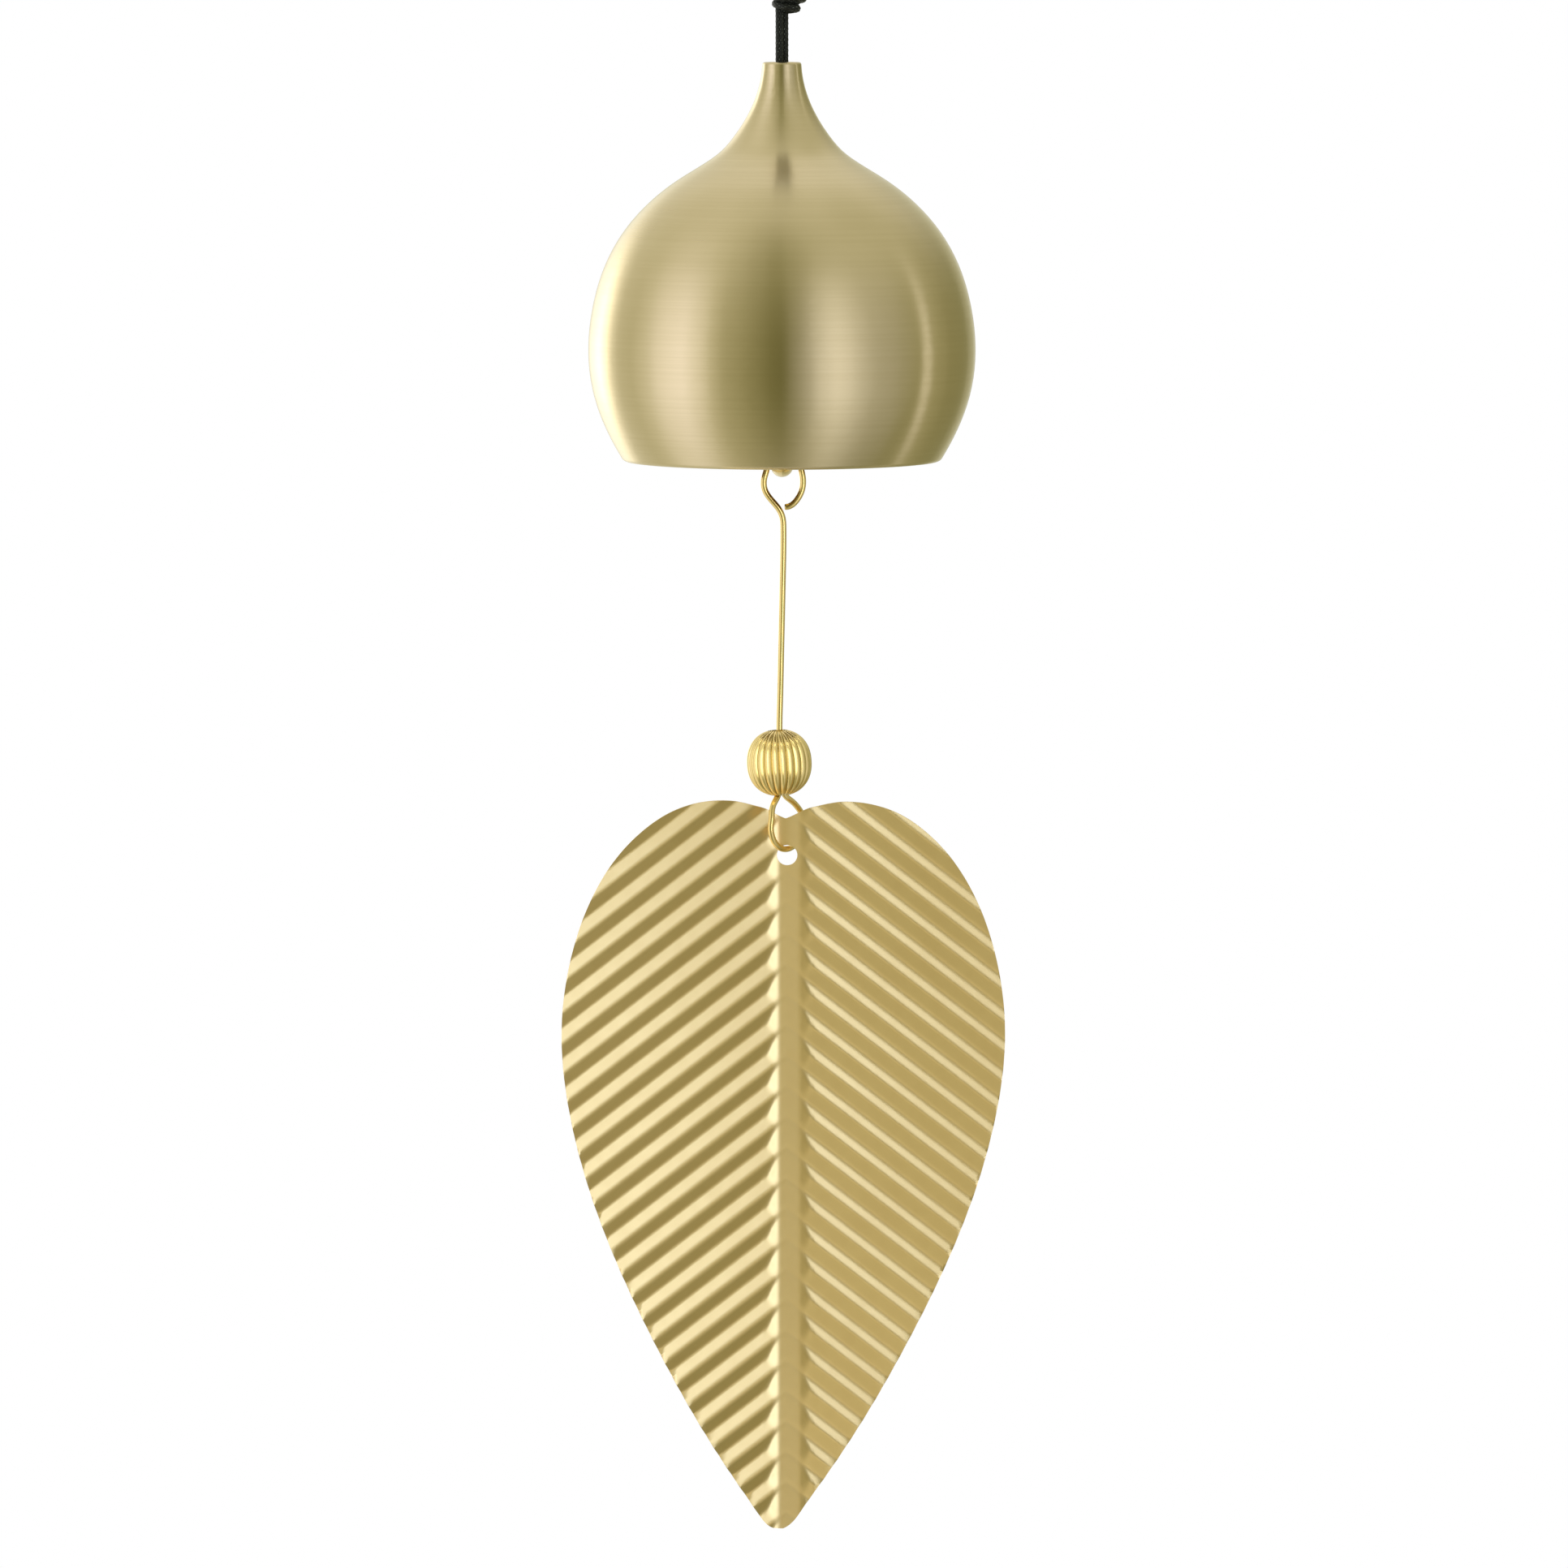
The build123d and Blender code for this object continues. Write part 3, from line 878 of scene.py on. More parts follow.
@dataclass
class CatcherWire(ShapedPiece):
    """The bent wire: hook over the ring, leaning shank, and an eye turned about the upright."""

    name: str = "catcher_wire_bent"
    node: str = "catcher_wire"
    body: str = "catcher"
    diameter: float = 0.95
    # Size of the wire's cut ends, as a share of its diameter.
    cut_share: float = 0.82
    around: int = 28
    step: float = 0.16
    # From the cut end round the hook and down the shank, as X and Z.
    hook: list[Span] = field(default_factory=lambda: [
        (0.42, -103.28), (1.0, -103.2), (1.63, -102.88), (2.35, -102.12), (2.93, -101.1), (3.24, -99.9),
        (3.25, -98.9), (3.05, -97.7), (2.62, -96.2), (1.55, -94.85), (0.0, -94.35), (-1.5, -94.9),
        (-2.32, -96.3), (-2.36, -97.3), (-2.62, -98.3), (-2.83, -99.4), (-2.6, -100.75), (-2.05, -101.68),
        (-1.3, -102.58), (-0.58, -103.46), (-0.08, -104.39), (0.15, -105.3), (0.22, -106.6), (0.2, -110.5),
        (0.12, -114.5), (0.0, -120.0), (-0.16, -127.0), (-0.32, -134.0), (-0.38, -139.0), (-0.36, -142.2)])
    # Down through the bead and round the eye, as the distance across in the eye's own plane and Z.
    eye: list[Span] = field(default_factory=lambda: [
        (-0.5, -144.6), (-0.5, -146.6), (-0.66, -147.9), (-1.28, -148.65), (-2.2, -149.35), (-3.0, -150.25),
        (-3.58, -151.55), (-3.78, -153.0), (-3.48, -154.4), (-2.5, -155.7), (-1.3, -156.4), (0.0, -156.62),
        (1.3, -156.4), (2.5, -155.75), (3.5, -154.5), (3.85, -153.0), (3.72, -151.5), (3.15, -150.3),
        (2.3, -149.4), (1.35, -148.7), (0.68, -147.95), (0.5, -146.6), (0.5, -144.4)])
    eye_turn: float = 50.0
    # How far the eye's plane lies to the right at some levels: Z, and the distance.
    eye_shift: list[Span] = field(default_factory=lambda: [
        (-151.5, 0.7), (-149.8, 0.28), (-148.5, -0.06), (-147.6, -0.16), (-146.6, -0.22), (-144.4, -0.32)])

    def shape(self) -> bpy.types.Object:
        """Bend the wire.

        Returns:
            The bare wire, with flat cut ends.
        """
        turn = math.radians(self.eye_turn)
        points = [(x, 0.0, z) for x, z in self.hook]
        levels, shifts = zip(*self.eye_shift)
        for across, z in self.eye:
            shift = float(np.interp(z, levels, shifts))
            points.append((across * math.cos(turn) + shift, across * math.sin(turn), z))
        line = bent_through(np.array(points) * MM, self.step * MM)
        radius = np.full((len(line), self.around), self.diameter / 2 * MM)
        radius[[0, -1]] *= self.cut_share
        piece = add_mesh(self.name, rings_about(line, radius), faces_between(len(line), self.around))
        for cap in piece.data.polygons[-2:]:
            cap.use_smooth = False
        return piece


@dataclass
class RibbedBead(ShapedPiece):
    """The bead on the wire: rounded ribs from pole to pole, a little askew on its wire."""

    # Mask for the painted shade in the grooves: the ribs' height, lowered at the poles.
    GROOVE_SHADE_MASK = "rib_crown"

    name: str = "ribbed_bead_fluted"
    node: str = "ribbed_bead"
    body: str = "bead"
    middle: Point = (-0.42, 0.0, -143.1)
    diameter: float = 10.15
    height: float = 10.4
    fullness: float = 2.2
    # Radius of the bore at the poles, and how far inside the poles and that radius its smooth part lies.
    bore: float = 1.5
    bore_sink: float = 0.35
    bore_narrowing: float = 0.12
    ribs: int = 24
    groove: float = 0.37
    # How late the grooves run out towards the poles: near 0 they stay deep to the end.
    groove_fade: float = 0.2
    # Painted shade at the poles: how much of the crowns' height the shade mask loses there, which darkens the
    # bead towards its poles, and how late that comes in.
    pole_painted_shade: float = 0.25
    pole_fade: float = 0.5
    lean: float = 3.4
    round_steps: int = 14
    tall_steps: int = 84
    bore_steps: int = 12

    def shape(self) -> bpy.types.Object:
        """Turn the bead and cut its grooves.

        Returns:
            The bare bead, whose points carry the height of the ribs, lowered towards the poles, as the mask
            for the painted shade in its grooves.
        """
        radius = self.diameter / 2
        end = math.acos((self.bore / radius) ** (self.fullness / 2))
        tilt = np.linspace(-end, end, self.tall_steps)
        out = radius * np.cos(tilt) ** (2 / self.fullness)
        level = self.height / 2 * np.sign(tilt) * np.abs(np.sin(tilt)) ** (2 / self.fullness)
        inside = np.linspace(level[-1] - self.bore_sink, level[0] + self.bore_sink, self.bore_steps)
        out = np.concatenate([out, np.full(self.bore_steps, self.bore - self.bore_narrowing)])[:, None]
        level = np.concatenate([level, inside])[:, None]
        from_pole = np.maximum(out - self.bore, 0) / (radius - self.bore)
        angle = full_turn(self.ribs * self.round_steps)[None, :]
        crown = 1 - (2 * (self.ribs * angle / (2 * math.pi) % 1) - 1) ** 2
        away = out - self.groove * from_pole ** self.groove_fade * (1 - crown)
        x, y, z = away * np.cos(angle), away * np.sin(angle), level + 0 * angle
        lean = math.radians(self.lean)
        x, z = x * math.cos(lean) - z * math.sin(lean), x * math.sin(lean) + z * math.cos(lean)
        rings = (np.stack([x, y, z], axis=-1) + self.middle) * MM
        piece = add_mesh(self.name, rings, faces_between(*rings.shape[:2], closed=True))
        # Painted shade: the mask drops towards the poles, where the grooves meet, so the bead turns darker
        # there.
        shade = self.pole_painted_shade * (1 - from_pole ** self.pole_fade)
        mark_points(piece, self.GROOVE_SHADE_MASK, np.clip(crown - shade, 0, 1))
        return piece


@dataclass
class PressedLeaf(ShapedPiece):
    """The leaf that catches the wind: one sheet with a flat rib and soft-edged grooves on both sides.

    Its outline is the CAD leaf's own. A pair of values is for the left and the right of the rib.
    """

    # Faces of the CAD leaf whose direction has less than this towards the viewer are its cut edges.
    EDGE_ON = 0.05
    # How far apart equal places in the outline are set, and what counts as nothing, in millimetres.
    HAIR = 1e-7
    NOTHING = 1e-6
    # Distances within which points are joined and edges are dropped, in metres.
    JOINED = 2e-6
    DROPPED = 1e-6

    name: str = "leaf_pressed"
    node: str = "leaf"
    body: str = "leaf"
    hole: Span = (0.8, -157.55)
    hole_radius: float = 1.6
    sheet: float = 0.5
    rib_middle: float = 0.8
    rib_halves: Span = (1.75, 2.5)
    rib_round: float = 0.9
    # Distance from groove to groove down the leaf, and how steeply they fall away from the rib.
    step: float = 4.8
    fall: float = 37.7
    # Depth of the grooves, and the share of the step that their lower face takes.
    depths: Span = (0.85, 0.70)
    low_shares: Span = (0.47, 0.41)
    crest_drop: float = 0.05
    crest_round: float = 0.52
    valley_round: float = 0.16
    # Distance over which the grooves run out at the rib.
    end_runs: Span = (2.0, 1.5)
    groove_start: float = -157.532
    crease_round: float = 0.3
    # Distances between the mesh's points: across near the rib and further out, and down the leaf.
    fine: float = 0.2
    coarse: float = 0.5
    row: float = 0.3
    # Half the width of the strip near the rib. Further out the points crowd towards the edge, and there are
    # this many times as many as even coarse steps would take.
    fine_half: float = 4.6
    crowding: float = 1.15
    # How far inside the leaf's left and right tips the mesh ends.
    trim: float = 0.01
    # Steepest bend, in degrees, that is still shaded smooth.
    soft_bend: float = 50.0

    def outline(self) -> np.ndarray:
        """Read the CAD leaf's outline.

        Returns:
            Its corners in order round the leaf, as X and Z in millimetres.
        """
        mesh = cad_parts[self.node].data
        rim = {v for face in mesh.polygons if abs(face.normal.y) < self.EDGE_ON for v in face.vertices}
        flat = np.array([[mesh.vertices[v].co.x, mesh.vertices[v].co.z] for v in rim]) / MM
        flat = flat[np.linalg.norm(flat - self.hole, axis=1) > 2 * self.hole_radius]
        middle = (flat.min(axis=0) + flat.max(axis=0)) / 2
        order = np.argsort(np.arctan2(flat[:, 1] - middle[1], flat[:, 0] - middle[0]))
        return flat[order]

    def edges(self) -> tuple[np.ndarray, np.ndarray, np.ndarray]:
        """Find where upright lines cross the outline.

        Returns:
            The X of each line, and the lower and upper Z of the leaf on it.
        """
        ring = self.outline()
        left, right = int(np.argmin(ring[:, 0])), int(np.argmax(ring[:, 0]))
        ring = np.roll(ring, -left, axis=0)
        right = (right - left) % len(ring)
        lower, upper = ring[:right + 1], np.concatenate([ring[right:], ring[:1]])[::-1]
        near = np.arange(self.rib_middle - self.fine_half, self.rib_middle + self.fine_half, self.fine)
        across = [near]
        for end, start in ((ring[0, 0] + self.trim, near[0]), (ring[right, 0] - self.trim, near[-1])):
            count = round(abs(end - start) / self.coarse * self.crowding)
            share = np.sin(np.linspace(0, math.pi / 2, count + 1))[1:]
            across.append(start + (end - start) * share)
        x = np.sort(np.concatenate(across))
        lows, highs = (self._cross(side, x) for side in (lower, upper))
        return x, lows, highs

    def _cross(self, side: np.ndarray, x: np.ndarray) -> np.ndarray:
        """Z of one side of the outline at each X, with the outline's upright runs set a hair askew."""
        rising = np.maximum.accumulate(side[:, 0]) + np.arange(len(side)) * self.HAIR
        return np.interp(x, rising, side[:, 1])

    @staticmethod
    def _rounding(distance: np.ndarray, width: np.ndarray | float) -> np.ndarray:
        """Height of a round over a sharp corner, for a change of slope of 1.

        Args:
            distance: Distance from the corner.
            width: How far the round reaches to either side.

        Returns:
            The heights.
        """
        gap = width - np.abs(distance)
        return np.where(gap > 0, gap ** 2 / (4 * width), 0)

    def depth_at(self, x: np.ndarray, z: np.ndarray) -> np.ndarray:
        """Depth of the pressed face behind the rib's.

        Args:
            x: X of each point.
            z: Z of each point.

        Returns:
            The depths.
        """
        out = np.abs(x - self.rib_middle)
        depth, share, rib_half, run = (np.where(x < self.rib_middle, *pair) for pair in (
            self.depths, self.low_shares, self.rib_halves, self.end_runs))
        below = np.mod(self.groove_start - (z + out * math.tan(math.radians(self.fall))), self.step)
        lower = (1 - share) * self.step
        rise, fall = -depth / lower, depth / (self.step - lower)
        face = np.where(below < lower, depth + rise * below, fall * (below - lower))
        for place, width, change in ((0.0, self.valley_round, rise - fall),
                                     (self.step, self.valley_round, rise - fall),
                                     (lower, self.crest_round, fall - rise)):
            face += change * self._rounding(below - place, width)
        face += self.crest_drop
        past = (out - rib_half) / run
        past = np.maximum(past, 0) + self._rounding(past, self.rib_round / run)
        wall = (depth + self.crest_drop) * (1 - np.maximum(1 - past, 0) ** 2) + np.maximum(past - 1, 0)
        return np.minimum(face, wall) - self._rounding(face - wall, self.crease_round)

    def shape(self) -> bpy.types.Object:
        """Press the leaf.

        Returns:
            The bare leaf, closed at its edges.
        """
        x, low, high = self.edges()
        out = np.abs(x - self.rib_middle) * math.tan(math.radians(self.fall))
        rows = np.arange((low + out).min(), (high + out).max() + self.row, self.row)
        z = np.clip(rows[None, :] - out[:, None], low[:, None], high[:, None])
        x, z, inside = self._round_hole(np.repeat(x[:, None], len(rows), axis=1), z)
        quads = self._kept(z, inside)
        numbers, place = np.unique(quads, return_inverse=True)
        depth = -self.sheet / 2 + self.depth_at(x, z)
        front = np.stack([x, depth, z], axis=-1).reshape(-1, 3)[numbers]
        faces = place.reshape(quads.shape)
        shell = np.concatenate([faces, faces[:, ::-1] + len(front)])
        corners = np.concatenate([front, front + (0, self.sheet, 0)]) * MM
        piece = add_mesh(self.name, corners, shell.tolist() + self._rim(faces, len(front)))
        self._clean(piece.data)
        return piece

    def _round_hole(self, x: np.ndarray, z: np.ndarray) -> tuple[np.ndarray, np.ndarray, np.ndarray]:
        """Push points that are just inside the hole out onto its edge.

        Args:
            x: X of the grid's points.
            z: Z of the grid's points.

        Returns:
            The new X and Z, and which points were inside.
        """
        dx, dz = x - self.hole[0], z - self.hole[1]
        away = np.hypot(dx, dz)
        inside = away < self.hole_radius
        scale = np.where(inside, self.hole_radius / np.maximum(away, self.NOTHING), 1.0)
        return self.hole[0] + dx * scale, self.hole[1] + dz * scale, inside

    def _kept(self, z: np.ndarray, inside: np.ndarray) -> np.ndarray:
        """Faces of the grid that lie on the sheet.

        Args:
            z: Z of the grid's points.
            inside: Which of them were inside the hole.

        Returns:
            The four corners of each face, which look towards the viewer.
        """
        corner = np.arange(z.size).reshape(z.shape)
        quads = np.stack([corner[:-1, :-1], corner[1:, :-1], corner[1:, 1:], corner[:-1, 1:]], axis=-1)
        hollow = inside[:-1, :-1] & inside[1:, :-1] & inside[1:, 1:] & inside[:-1, 1:]
        level = np.abs(np.diff(z, axis=1)) < self.NOTHING
        return quads[~(hollow | level[:-1] & level[1:])]

    @staticmethod
    def _rim(faces: np.ndarray, behind: int) -> Faces:
        """Faces that close the sheet's cut edges.

        Args:
            faces: Faces of the front.
            behind: What the number of a point on the back is above that of the point in front of it.

        Returns:
            The faces.
        """
        pairs = {}
        for quad in faces:
            for a, b in zip(quad, np.roll(quad, -1)):
                if pairs.pop((b, a), None) is None:
                    pairs[(a, b)] = True
        return [(b, a, a + behind, b + behind) for a, b in pairs]

    def _clean(self, mesh: bpy.types.Mesh) -> None:
        """Join doubled points, and end the smooth shading at the sheet's cut edges.

        Args:
            mesh: The leaf's mesh.
        """
        work = bmesh.new()
        work.from_mesh(mesh)
        bmesh.ops.remove_doubles(work, verts=work.verts, dist=self.JOINED)
        bmesh.ops.dissolve_degenerate(work, edges=work.edges, dist=self.DROPPED)
        for edge in work.edges:
            if len(edge.link_faces) == 2 and edge.calc_face_angle(0.0) > math.radians(self.soft_bend):
                edge.smooth = False
        work.to_mesh(mesh)
        work.free()


class Flags(Enum):
    """What the flags round a lamp let it light."""

    ONE_PIECE = "INCLUDE"
    ALL_BUT_ONE = "EXCLUDE"

    def put_round(self, lamp: bpy.types.Object, piece: str) -> None:
        """Put the flags up.

        Args:
            lamp: The lamp.
            piece: Name of the piece that they are for.
        """
        lit = bpy.data.collections.new(lamp.name)
        lit.objects.link(bpy.data.objects[piece])
        for row in lit.collection_objects:
            row.light_linking.link_state = self.value
        lamp.light_linking.receiver_collection = lit


@dataclass(frozen=True)
class SoftBox:
    """A soft box that lights one piece alone. Its power is in watts."""

    name: str
    piece: str
    place: Point
    target: Point
    size: Span
    power: float
    colour: Colour
    # Whether nothing but the piece itself casts a shadow on it.
    clear_way: bool = False

    def hang(self) -> None:
        """Hang the lamp and put its flags up."""
        data = bpy.data.lights.new(self.name, "AREA")
        data.shape = "RECTANGLE"
        data.size, data.size_y = self.size
        data.energy = self.power
        data.color = self.colour
        lamp = bpy.data.objects.new(self.name, data)
        lamp.location = self.place
        aim = Vector(self.target) - Vector(self.place)
        lamp.rotation_euler = aim.to_track_quat("-Z", "Y").to_euler()
        bpy.context.scene.collection.objects.link(lamp)
        lamp.visible_camera = False
        Flags.ONE_PIECE.put_round(lamp, self.piece)
        if self.clear_way:
            lamp.light_linking.blocker_collection = lamp.light_linking.receiver_collection


@dataclass
class Studio:
    """Camera, pale floor and the soft studio light that the brass reflects."""

    camera_place: Point = (0.000315, -1.5, -0.0094)
    camera_pitch: float = 5.2203
    lens: float = 222.227
    sensor: float = 36.0
    floor_drop: float = 2.0
    floor_radius: float = 9.0
    floor_sides: int = 96
    floor_grey: Colour = (0.9, 0.9, 0.9)
    # Brightness round the horizon by azimuth in degrees: 0 is behind the camera, minus is to the left.
    horizon: list[Span] = field(default_factory=lambda: [
        (-180, 0.55), (-165, 0.70), (-122, 0.70), (-116, 0.66), (-102, 0.58), (-92, 0.70), (-74, 1.06),
        (-62, 1.17), (-50, 0.92), (-43, 0.65), (-36, 0.46), (-22, 0.34), (-8, 0.205), (-1, 0.15), (5, 0.18),
        (12, 0.19), (30, 0.20), (70, 0.23), (87, 0.31), (92.5, 0.35), (94.5, 0.78), (98.5, 0.85),
        (101, 0.40), (108, 0.37), (120, 0.29), (142, 0.27), (160, 0.48), (174, 0.70), (180, 0.55)])
    # Brightness that a tall white panel far to the left adds, by azimuth.
    white_panel: list[Span] = field(default_factory=lambda: [
        (-180, 0.0), (-168, 0.3), (-152, 0.9), (-140, 1.7), (-131, 1.15), (-123, 0.2), (-117, 0.0)])
    # Brightness overhead, by azimuth, and right above.
    ceiling: list[Span] = field(default_factory=lambda: [
        (-180, 0.95), (-155, 0.82), (-120, 0.66), (-80, 0.74), (-45, 0.62), (-5, 0.32), (25, 0.47),
        (70, 0.58), (120, 0.56), (155, 0.82), (180, 0.95)])
    zenith_level: float = 0.66
    # Brightness from below, by azimuth, and the colour right below.
    ground: list[Span] = field(default_factory=lambda: [
        (-180, 0.55), (-90, 0.62), (-30, 0.42), (-4, 0.31), (35, 0.38), (75, 0.19), (115, 0.22),
        (180, 0.55)])
    nadir: Colour = (0.55, 0.55, 0.50)
    # How far the bands of the horizon spread apart towards the floor.
    spread_below: float = 0.35
    # Where one light gives way to the next, as the rise or the fall of a direction that is 1 long.
    rise_to_ceiling: Span = (0.1, 0.8)
    rise_to_zenith: Span = (0.89, 0.998)
    rise_off_panel: Span = (0.05, 0.5)
    fall_off_panel: Span = (0.12, 0.5)
    fall_to_ground: Span = (0.25, 1.35)
    fall_to_nadir: Span = (0.92, 1.0)
    # The curved card to the right: its half height in degrees, and the brightness that it adds, by azimuth.
    card_radius: float = 0.95
    card_centre: Point = (0.0, 0.0, -0.07)
    card_half_height: float = 72.0
    card_columns: int = 19
    card_rows: int = 25
    card_glow: list[Span] = field(default_factory=lambda: [
        (3, 0.01), (12, 0.23), (19, 0.48), (30, 0.78), (36, 0.74), (47, 0.49), (54, 0.32), (70, 0.21),
        (84, 0.07), (87, 0.02)])
    rise_off_card: Span = (0.1, 0.8)
    fall_off_card: Span = (0.3, 1.25)
    soft_boxes: tuple[SoftBox, ...] = (
        SoftBox("leaf_side_softbox", PressedLeaf.name, (-0.155, -0.171, -0.332), (0.0, 0.0, -0.34),
                (0.09, 0.6), 0.302, (0.80, 0.97, 1.36)),
        SoftBox("leaf_front_softbox", PressedLeaf.name, (0.17, -0.87, -0.12), (0.0, 0.0, -0.2),
                (0.9, 0.5), 0.78, (1.0, 0.93, 0.74)),
        SoftBox("leaf_low_softbox", PressedLeaf.name, (0.02, -0.10, -0.27), (-0.02, 0.0, -0.19),
                (0.06, 0.08), 0.003, (1.0, 0.9, 0.8)),
        SoftBox("leaf_right_softbox", PressedLeaf.name, (0.53, -0.28, -0.15), (0.0, 0.0, -0.2),
                (0.25, 0.5), 0.18, (1.0, 0.93, 0.74)),
        SoftBox("wire_side_softbox", CatcherWire.name, (0.40, -0.80, -0.12), (0.0, 0.0, -0.13),
                (0.25, 0.5), 0.9, (1.0, 0.96, 0.86)),
        SoftBox("bead_side_softbox", RibbedBead.name, (-0.15, -0.84, -0.06), (0.0, 0.0, -0.14),
                (0.7, 1.0), 4.7, (0.97, 1.0, 0.95)),
        SoftBox("bead_top_softbox", RibbedBead.name, (0.0, -0.03, 0.1), (0.0, 0.0, -0.14),
                (0.2, 0.2), 0.45, (1.0, 0.95, 0.80), clear_way=True))

    def camera(self) -> None:
        """Place the camera at the photograph's viewing angle."""
        data = bpy.data.cameras.new("photo_camera")
        data.sensor_fit = "HORIZONTAL"
        data.sensor_width = self.sensor
        data.lens = self.lens
        data.clip_start, data.clip_end = 0.05, 50.0
        camera = bpy.data.objects.new("photo_camera", data)
        camera.location = self.camera_place
        camera.rotation_euler = (math.radians(90 - self.camera_pitch), 0, 0)
        bpy.context.scene.collection.objects.link(camera)
        bpy.context.scene.camera = camera

    @staticmethod
    def tinted(level: float) -> Colour:
        """Colour of the studio at a brightness: white where it is bright and brown in its dark corners."""
        return (level, level, level ** 1.5)

    @staticmethod
    def white(level: float) -> Colour:
        """Colour of the panel at a brightness: plain white."""
        return (level, level, level)

    @staticmethod
    def cool(level: float) -> Colour:
        """Colour of the card at a brightness: a cool white."""
        return (level, 1.02 * level, 1.2 * level)

    def azimuths(self, x: Shade, y: Shade, rise: Shade) -> tuple[Shade, Shade]:
        """Side that a direction points to, as a share of a full turn to either side of the camera's.

        Args:
            x: The direction's part to the right.
            y: Its part away from the camera.
            rise: Its part upwards, where its length is 1.

        Returns:
            The side, and the side that the bands have there, which spread apart towards the floor.
        """
        side = x.turn_from(-y) * (0.5 / math.pi)
        return side, side * (1.0 - self.spread_below * rise.at_most(0.0) ** 2.0)

    @staticmethod
    def round_about(table: NodeTable, azimuth: Shade, levels: list[Span],
                    tint: Callable[[float], Colour]) -> Shade:
        """Colour of the light from each side.

        Args:
            table: The tree to add it to.
            azimuth: The side that it comes from, as a share of a full turn to either side.
            levels: Brightness by azimuth in degrees.
            tint: Gives the colour of a brightness.

        Returns:
            The colour.
        """
        stops = [(angle / 360 + 0.5, tint(level)) for angle, level in levels]
        return table.shade("ShaderNodeValToRGB", {"stops": stops}, {0: azimuth + 0.5})

    def surroundings(self) -> None:
        """Build the world: white for the camera, and a soft studio for everything that is lit by it."""
        world = bpy.data.worlds.new("studio")
        bpy.context.scene.world = world
        table = NodeTable(world)
        x, y, z = table.shade("ShaderNodeTexCoord", out="Generated").parts()
        azimuth, spread = self.azimuths(x, y, z)
        walls = self.round_about(table, spread, self.horizon, self.tinted)
        panel = self.round_about(table, spread, self.white_panel, self.white)
        panel = table.blend_colours(z.between(*self.rise_off_panel), panel, BLACK)
        panel = table.blend_colours((-z).between(*self.fall_off_panel), panel, BLACK)
        walls = table.blend_colours(1.0, walls, panel, Blend.ADDED)
        under = self.round_about(table, azimuth, self.ground, self.tinted)
        walls = table.blend_colours((-z).between(*self.fall_to_ground), walls, under)
        walls = table.blend_colours((-z).between(*self.fall_to_nadir), walls, self.nadir)
        overhead = self.round_about(table, azimuth, self.ceiling, self.tinted)
        zenith = self.tinted(self.zenith_level)
        overhead = table.blend_colours(z.between(*self.rise_to_zenith), overhead, zenith)
        room = table.blend_colours(z.between(*self.rise_to_ceiling), walls, overhead)
        seen = table.shade("ShaderNodeLightPath", out="Is Camera Ray")
        colour = table.blend_colours(seen, room, WHITE)
        light = table.shade("ShaderNodeBackground", None, {"Color": colour, "Strength": 1.0})
        table.node("ShaderNodeOutputWorld", None, {"Surface": light})

    def floor(self) -> None:
        """Build the pale floor far below the bell, white for the camera and out of its reflections."""
        level = CAD_BOX[0].z - self.floor_drop
        rim = [(self.floor_radius * math.cos(turn), self.floor_radius * math.sin(turn), level)
               for turn in full_turn(self.floor_sides)]
        floor = add_mesh("floor", rim, [tuple(range(self.floor_sides))])
        material = bpy.data.materials.new("pale_floor")
        table = NodeTable(material)
        seen = table.shade("ShaderNodeLightPath", out="Is Camera Ray")
        shader = table.shade("ShaderNodeBsdfPrincipled", None, {
            "Base Color": (*self.floor_grey, 1.0), "Roughness": 0.9, "Emission Strength": 0.65,
            "Emission Color": table.blend_colours(seen, BLACK, WHITE)})
        table.node("ShaderNodeOutputMaterial", None, {"Surface": shader})
        floor.data.materials.append(material)
        floor.visible_glossy = False

    def curved_card(self) -> None:
        """Build the glowing curved card to the right, which is flagged off from the leaf."""
        turns = np.radians(np.linspace(self.card_glow[0][0], self.card_glow[-1][0], self.card_columns))
        heights = np.radians(np.linspace(-self.card_half_height, self.card_half_height, self.card_rows))
        corners = [(math.cos(h) * math.sin(t) * self.card_radius,
                    -math.cos(h) * math.cos(t) * self.card_radius,
                    math.sin(h) * self.card_radius) for h in heights for t in turns]
        wide = self.card_columns
        faces = [(r * wide + c, r * wide + c + 1, (r + 1) * wide + c + 1, (r + 1) * wide + c)
                 for r in range(self.card_rows - 1) for c in range(wide - 1)]
        card = add_mesh("curved_card", corners, faces)
        material = bpy.data.materials.new("glowing_card")
        table = NodeTable(material)
        x, y, z = table.shade("ShaderNodeTexCoord", out="Object").parts()
        rise = z * (1 / self.card_radius)
        spread = self.azimuths(x, y, rise)[1]
        glow = self.round_about(table, spread, self.card_glow, self.cool)
        glow = table.blend_colours(rise.between(*self.rise_off_card), glow, BLACK)
        glow = table.blend_colours((-rise).between(*self.fall_off_card), glow, BLACK)
        shining = table.shade("ShaderNodeEmission", None, {"Color": glow, "Strength": 1.0})
        clear = table.shade("ShaderNodeBsdfTransparent")
        both = table.shade("ShaderNodeAddShader", None, {0: shining, 1: clear})
        table.node("ShaderNodeOutputMaterial", None, {"Surface": both})
        card.data.materials.append(material)
        card.location = self.card_centre
        card.visible_camera = card.visible_shadow = False
        Flags.ALL_BUT_ONE.put_round(card, PressedLeaf.name)

    def make(self) -> None:
        """Build all of the studio but the camera, once the pieces that its lamps light are there."""
        self.surroundings()
        self.floor()
        self.curved_card()
        for soft_box in self.soft_boxes:
            soft_box.hang()
        bpy.context.scene.view_settings.view_transform = "Standard"


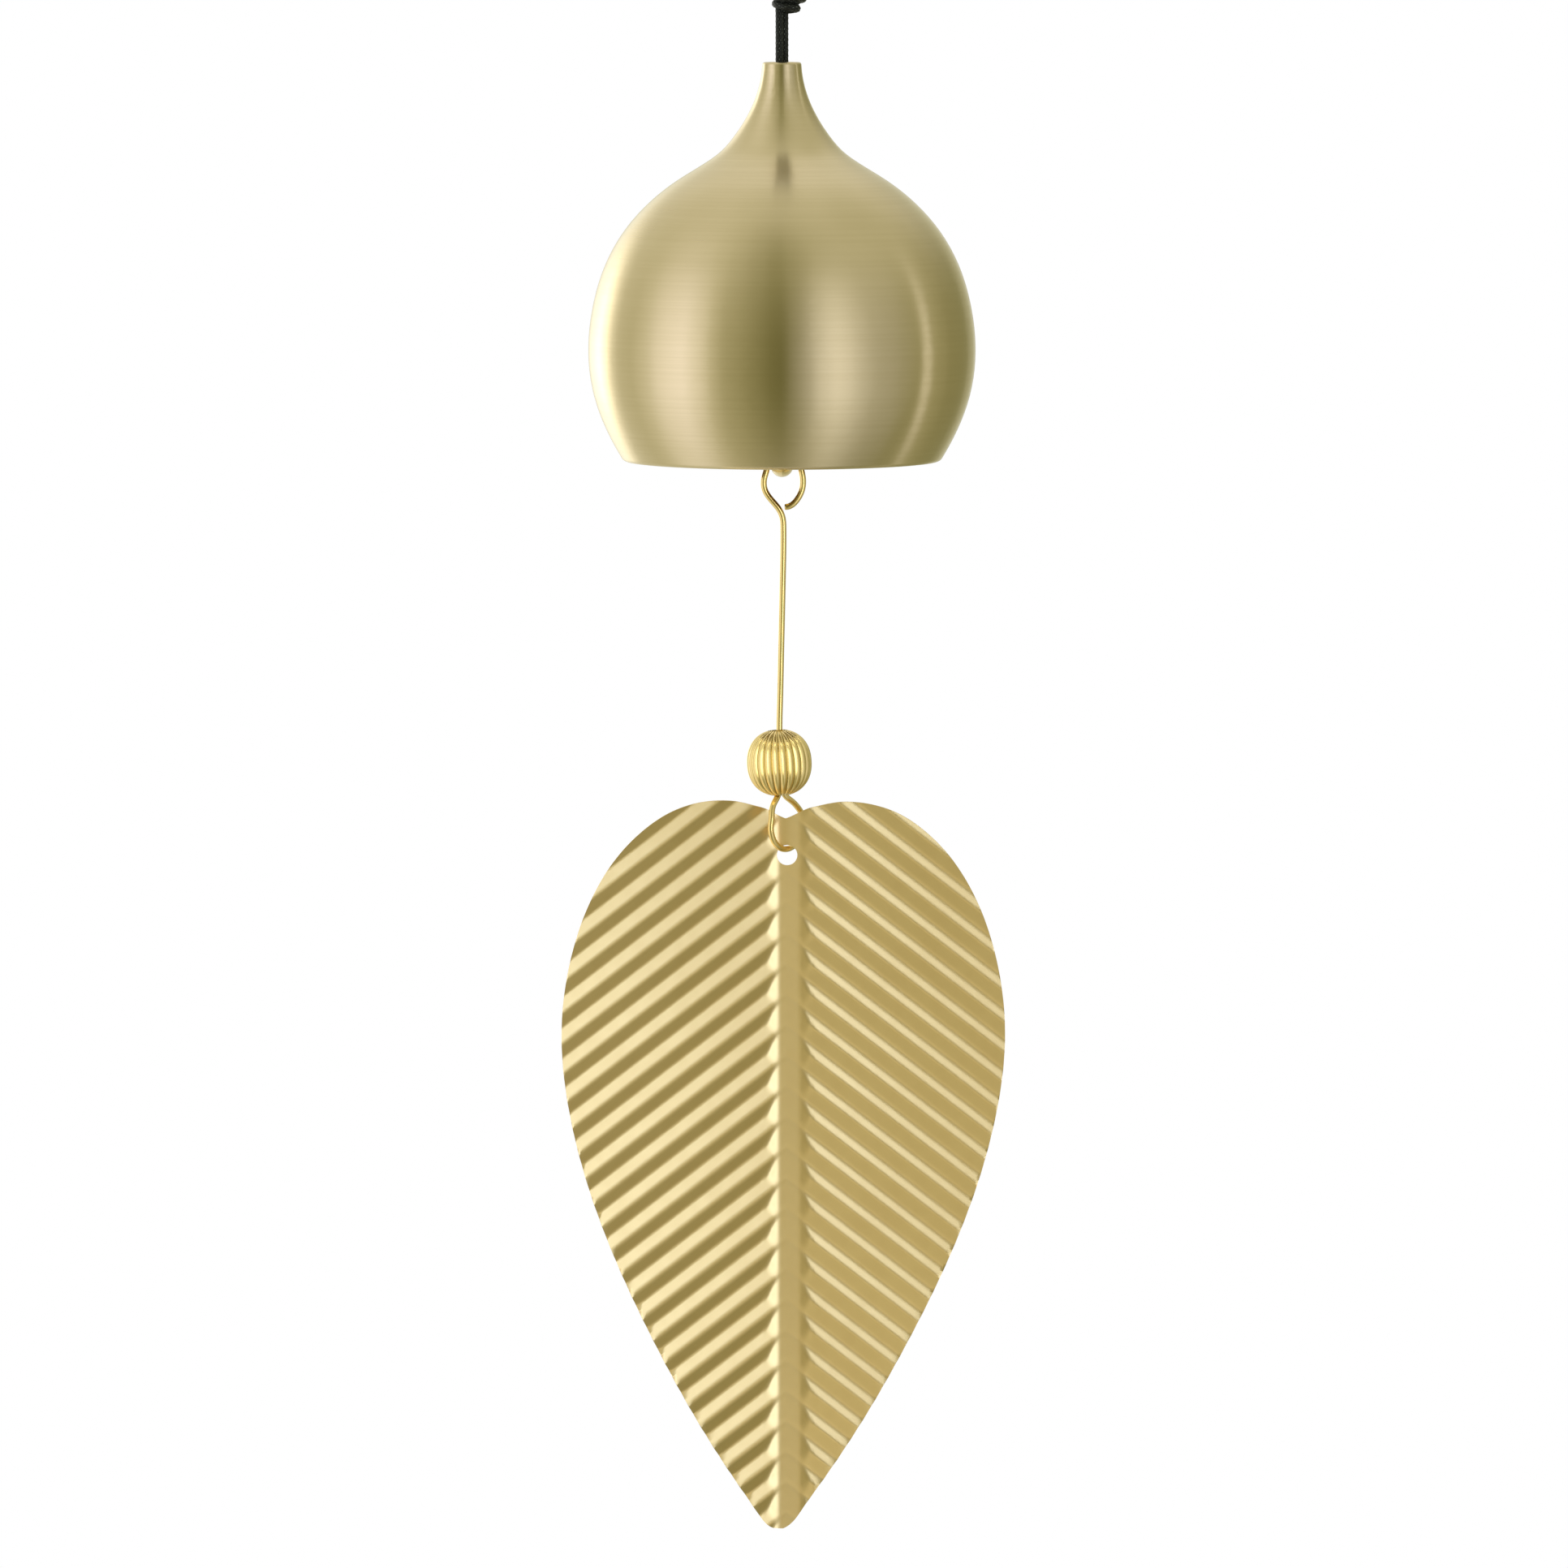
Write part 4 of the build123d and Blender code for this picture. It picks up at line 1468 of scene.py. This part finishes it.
def main() -> None:
    """Build and dress every sub-assembly in order, and report each piece."""
    logging.basicConfig(level=logging.INFO, format="%(name)s: %(message)s")
    studio = Studio()
    studio.camera()
    black, gilt = CORD_BLACK.make(), GILT_BRASS.make()
    made = []
    for cord in (HangingCord(), BoreCord(), ClapperCord()):
        made += cord.make(black)
    made += [KeptNode("bell_body").make(BELL_BRASS.make(), BELL_BRASS.name),
             KeptNode("clapper_ring").make(gilt, GILT_BRASS.name),
             CatcherWire().make(gilt, GILT_BRASS.name),
             RibbedBead().make(BEAD_BRASS.make(), GILT_BRASS.name),
             PressedLeaf().make(LEAF_BRASS.make(), LEAF_BRASS.name)]
    studio.make()
    for piece in made:
        log.info("%s: %d faces", piece.name, len(piece.data.polygons))


if __name__ == "__main__":
    main()
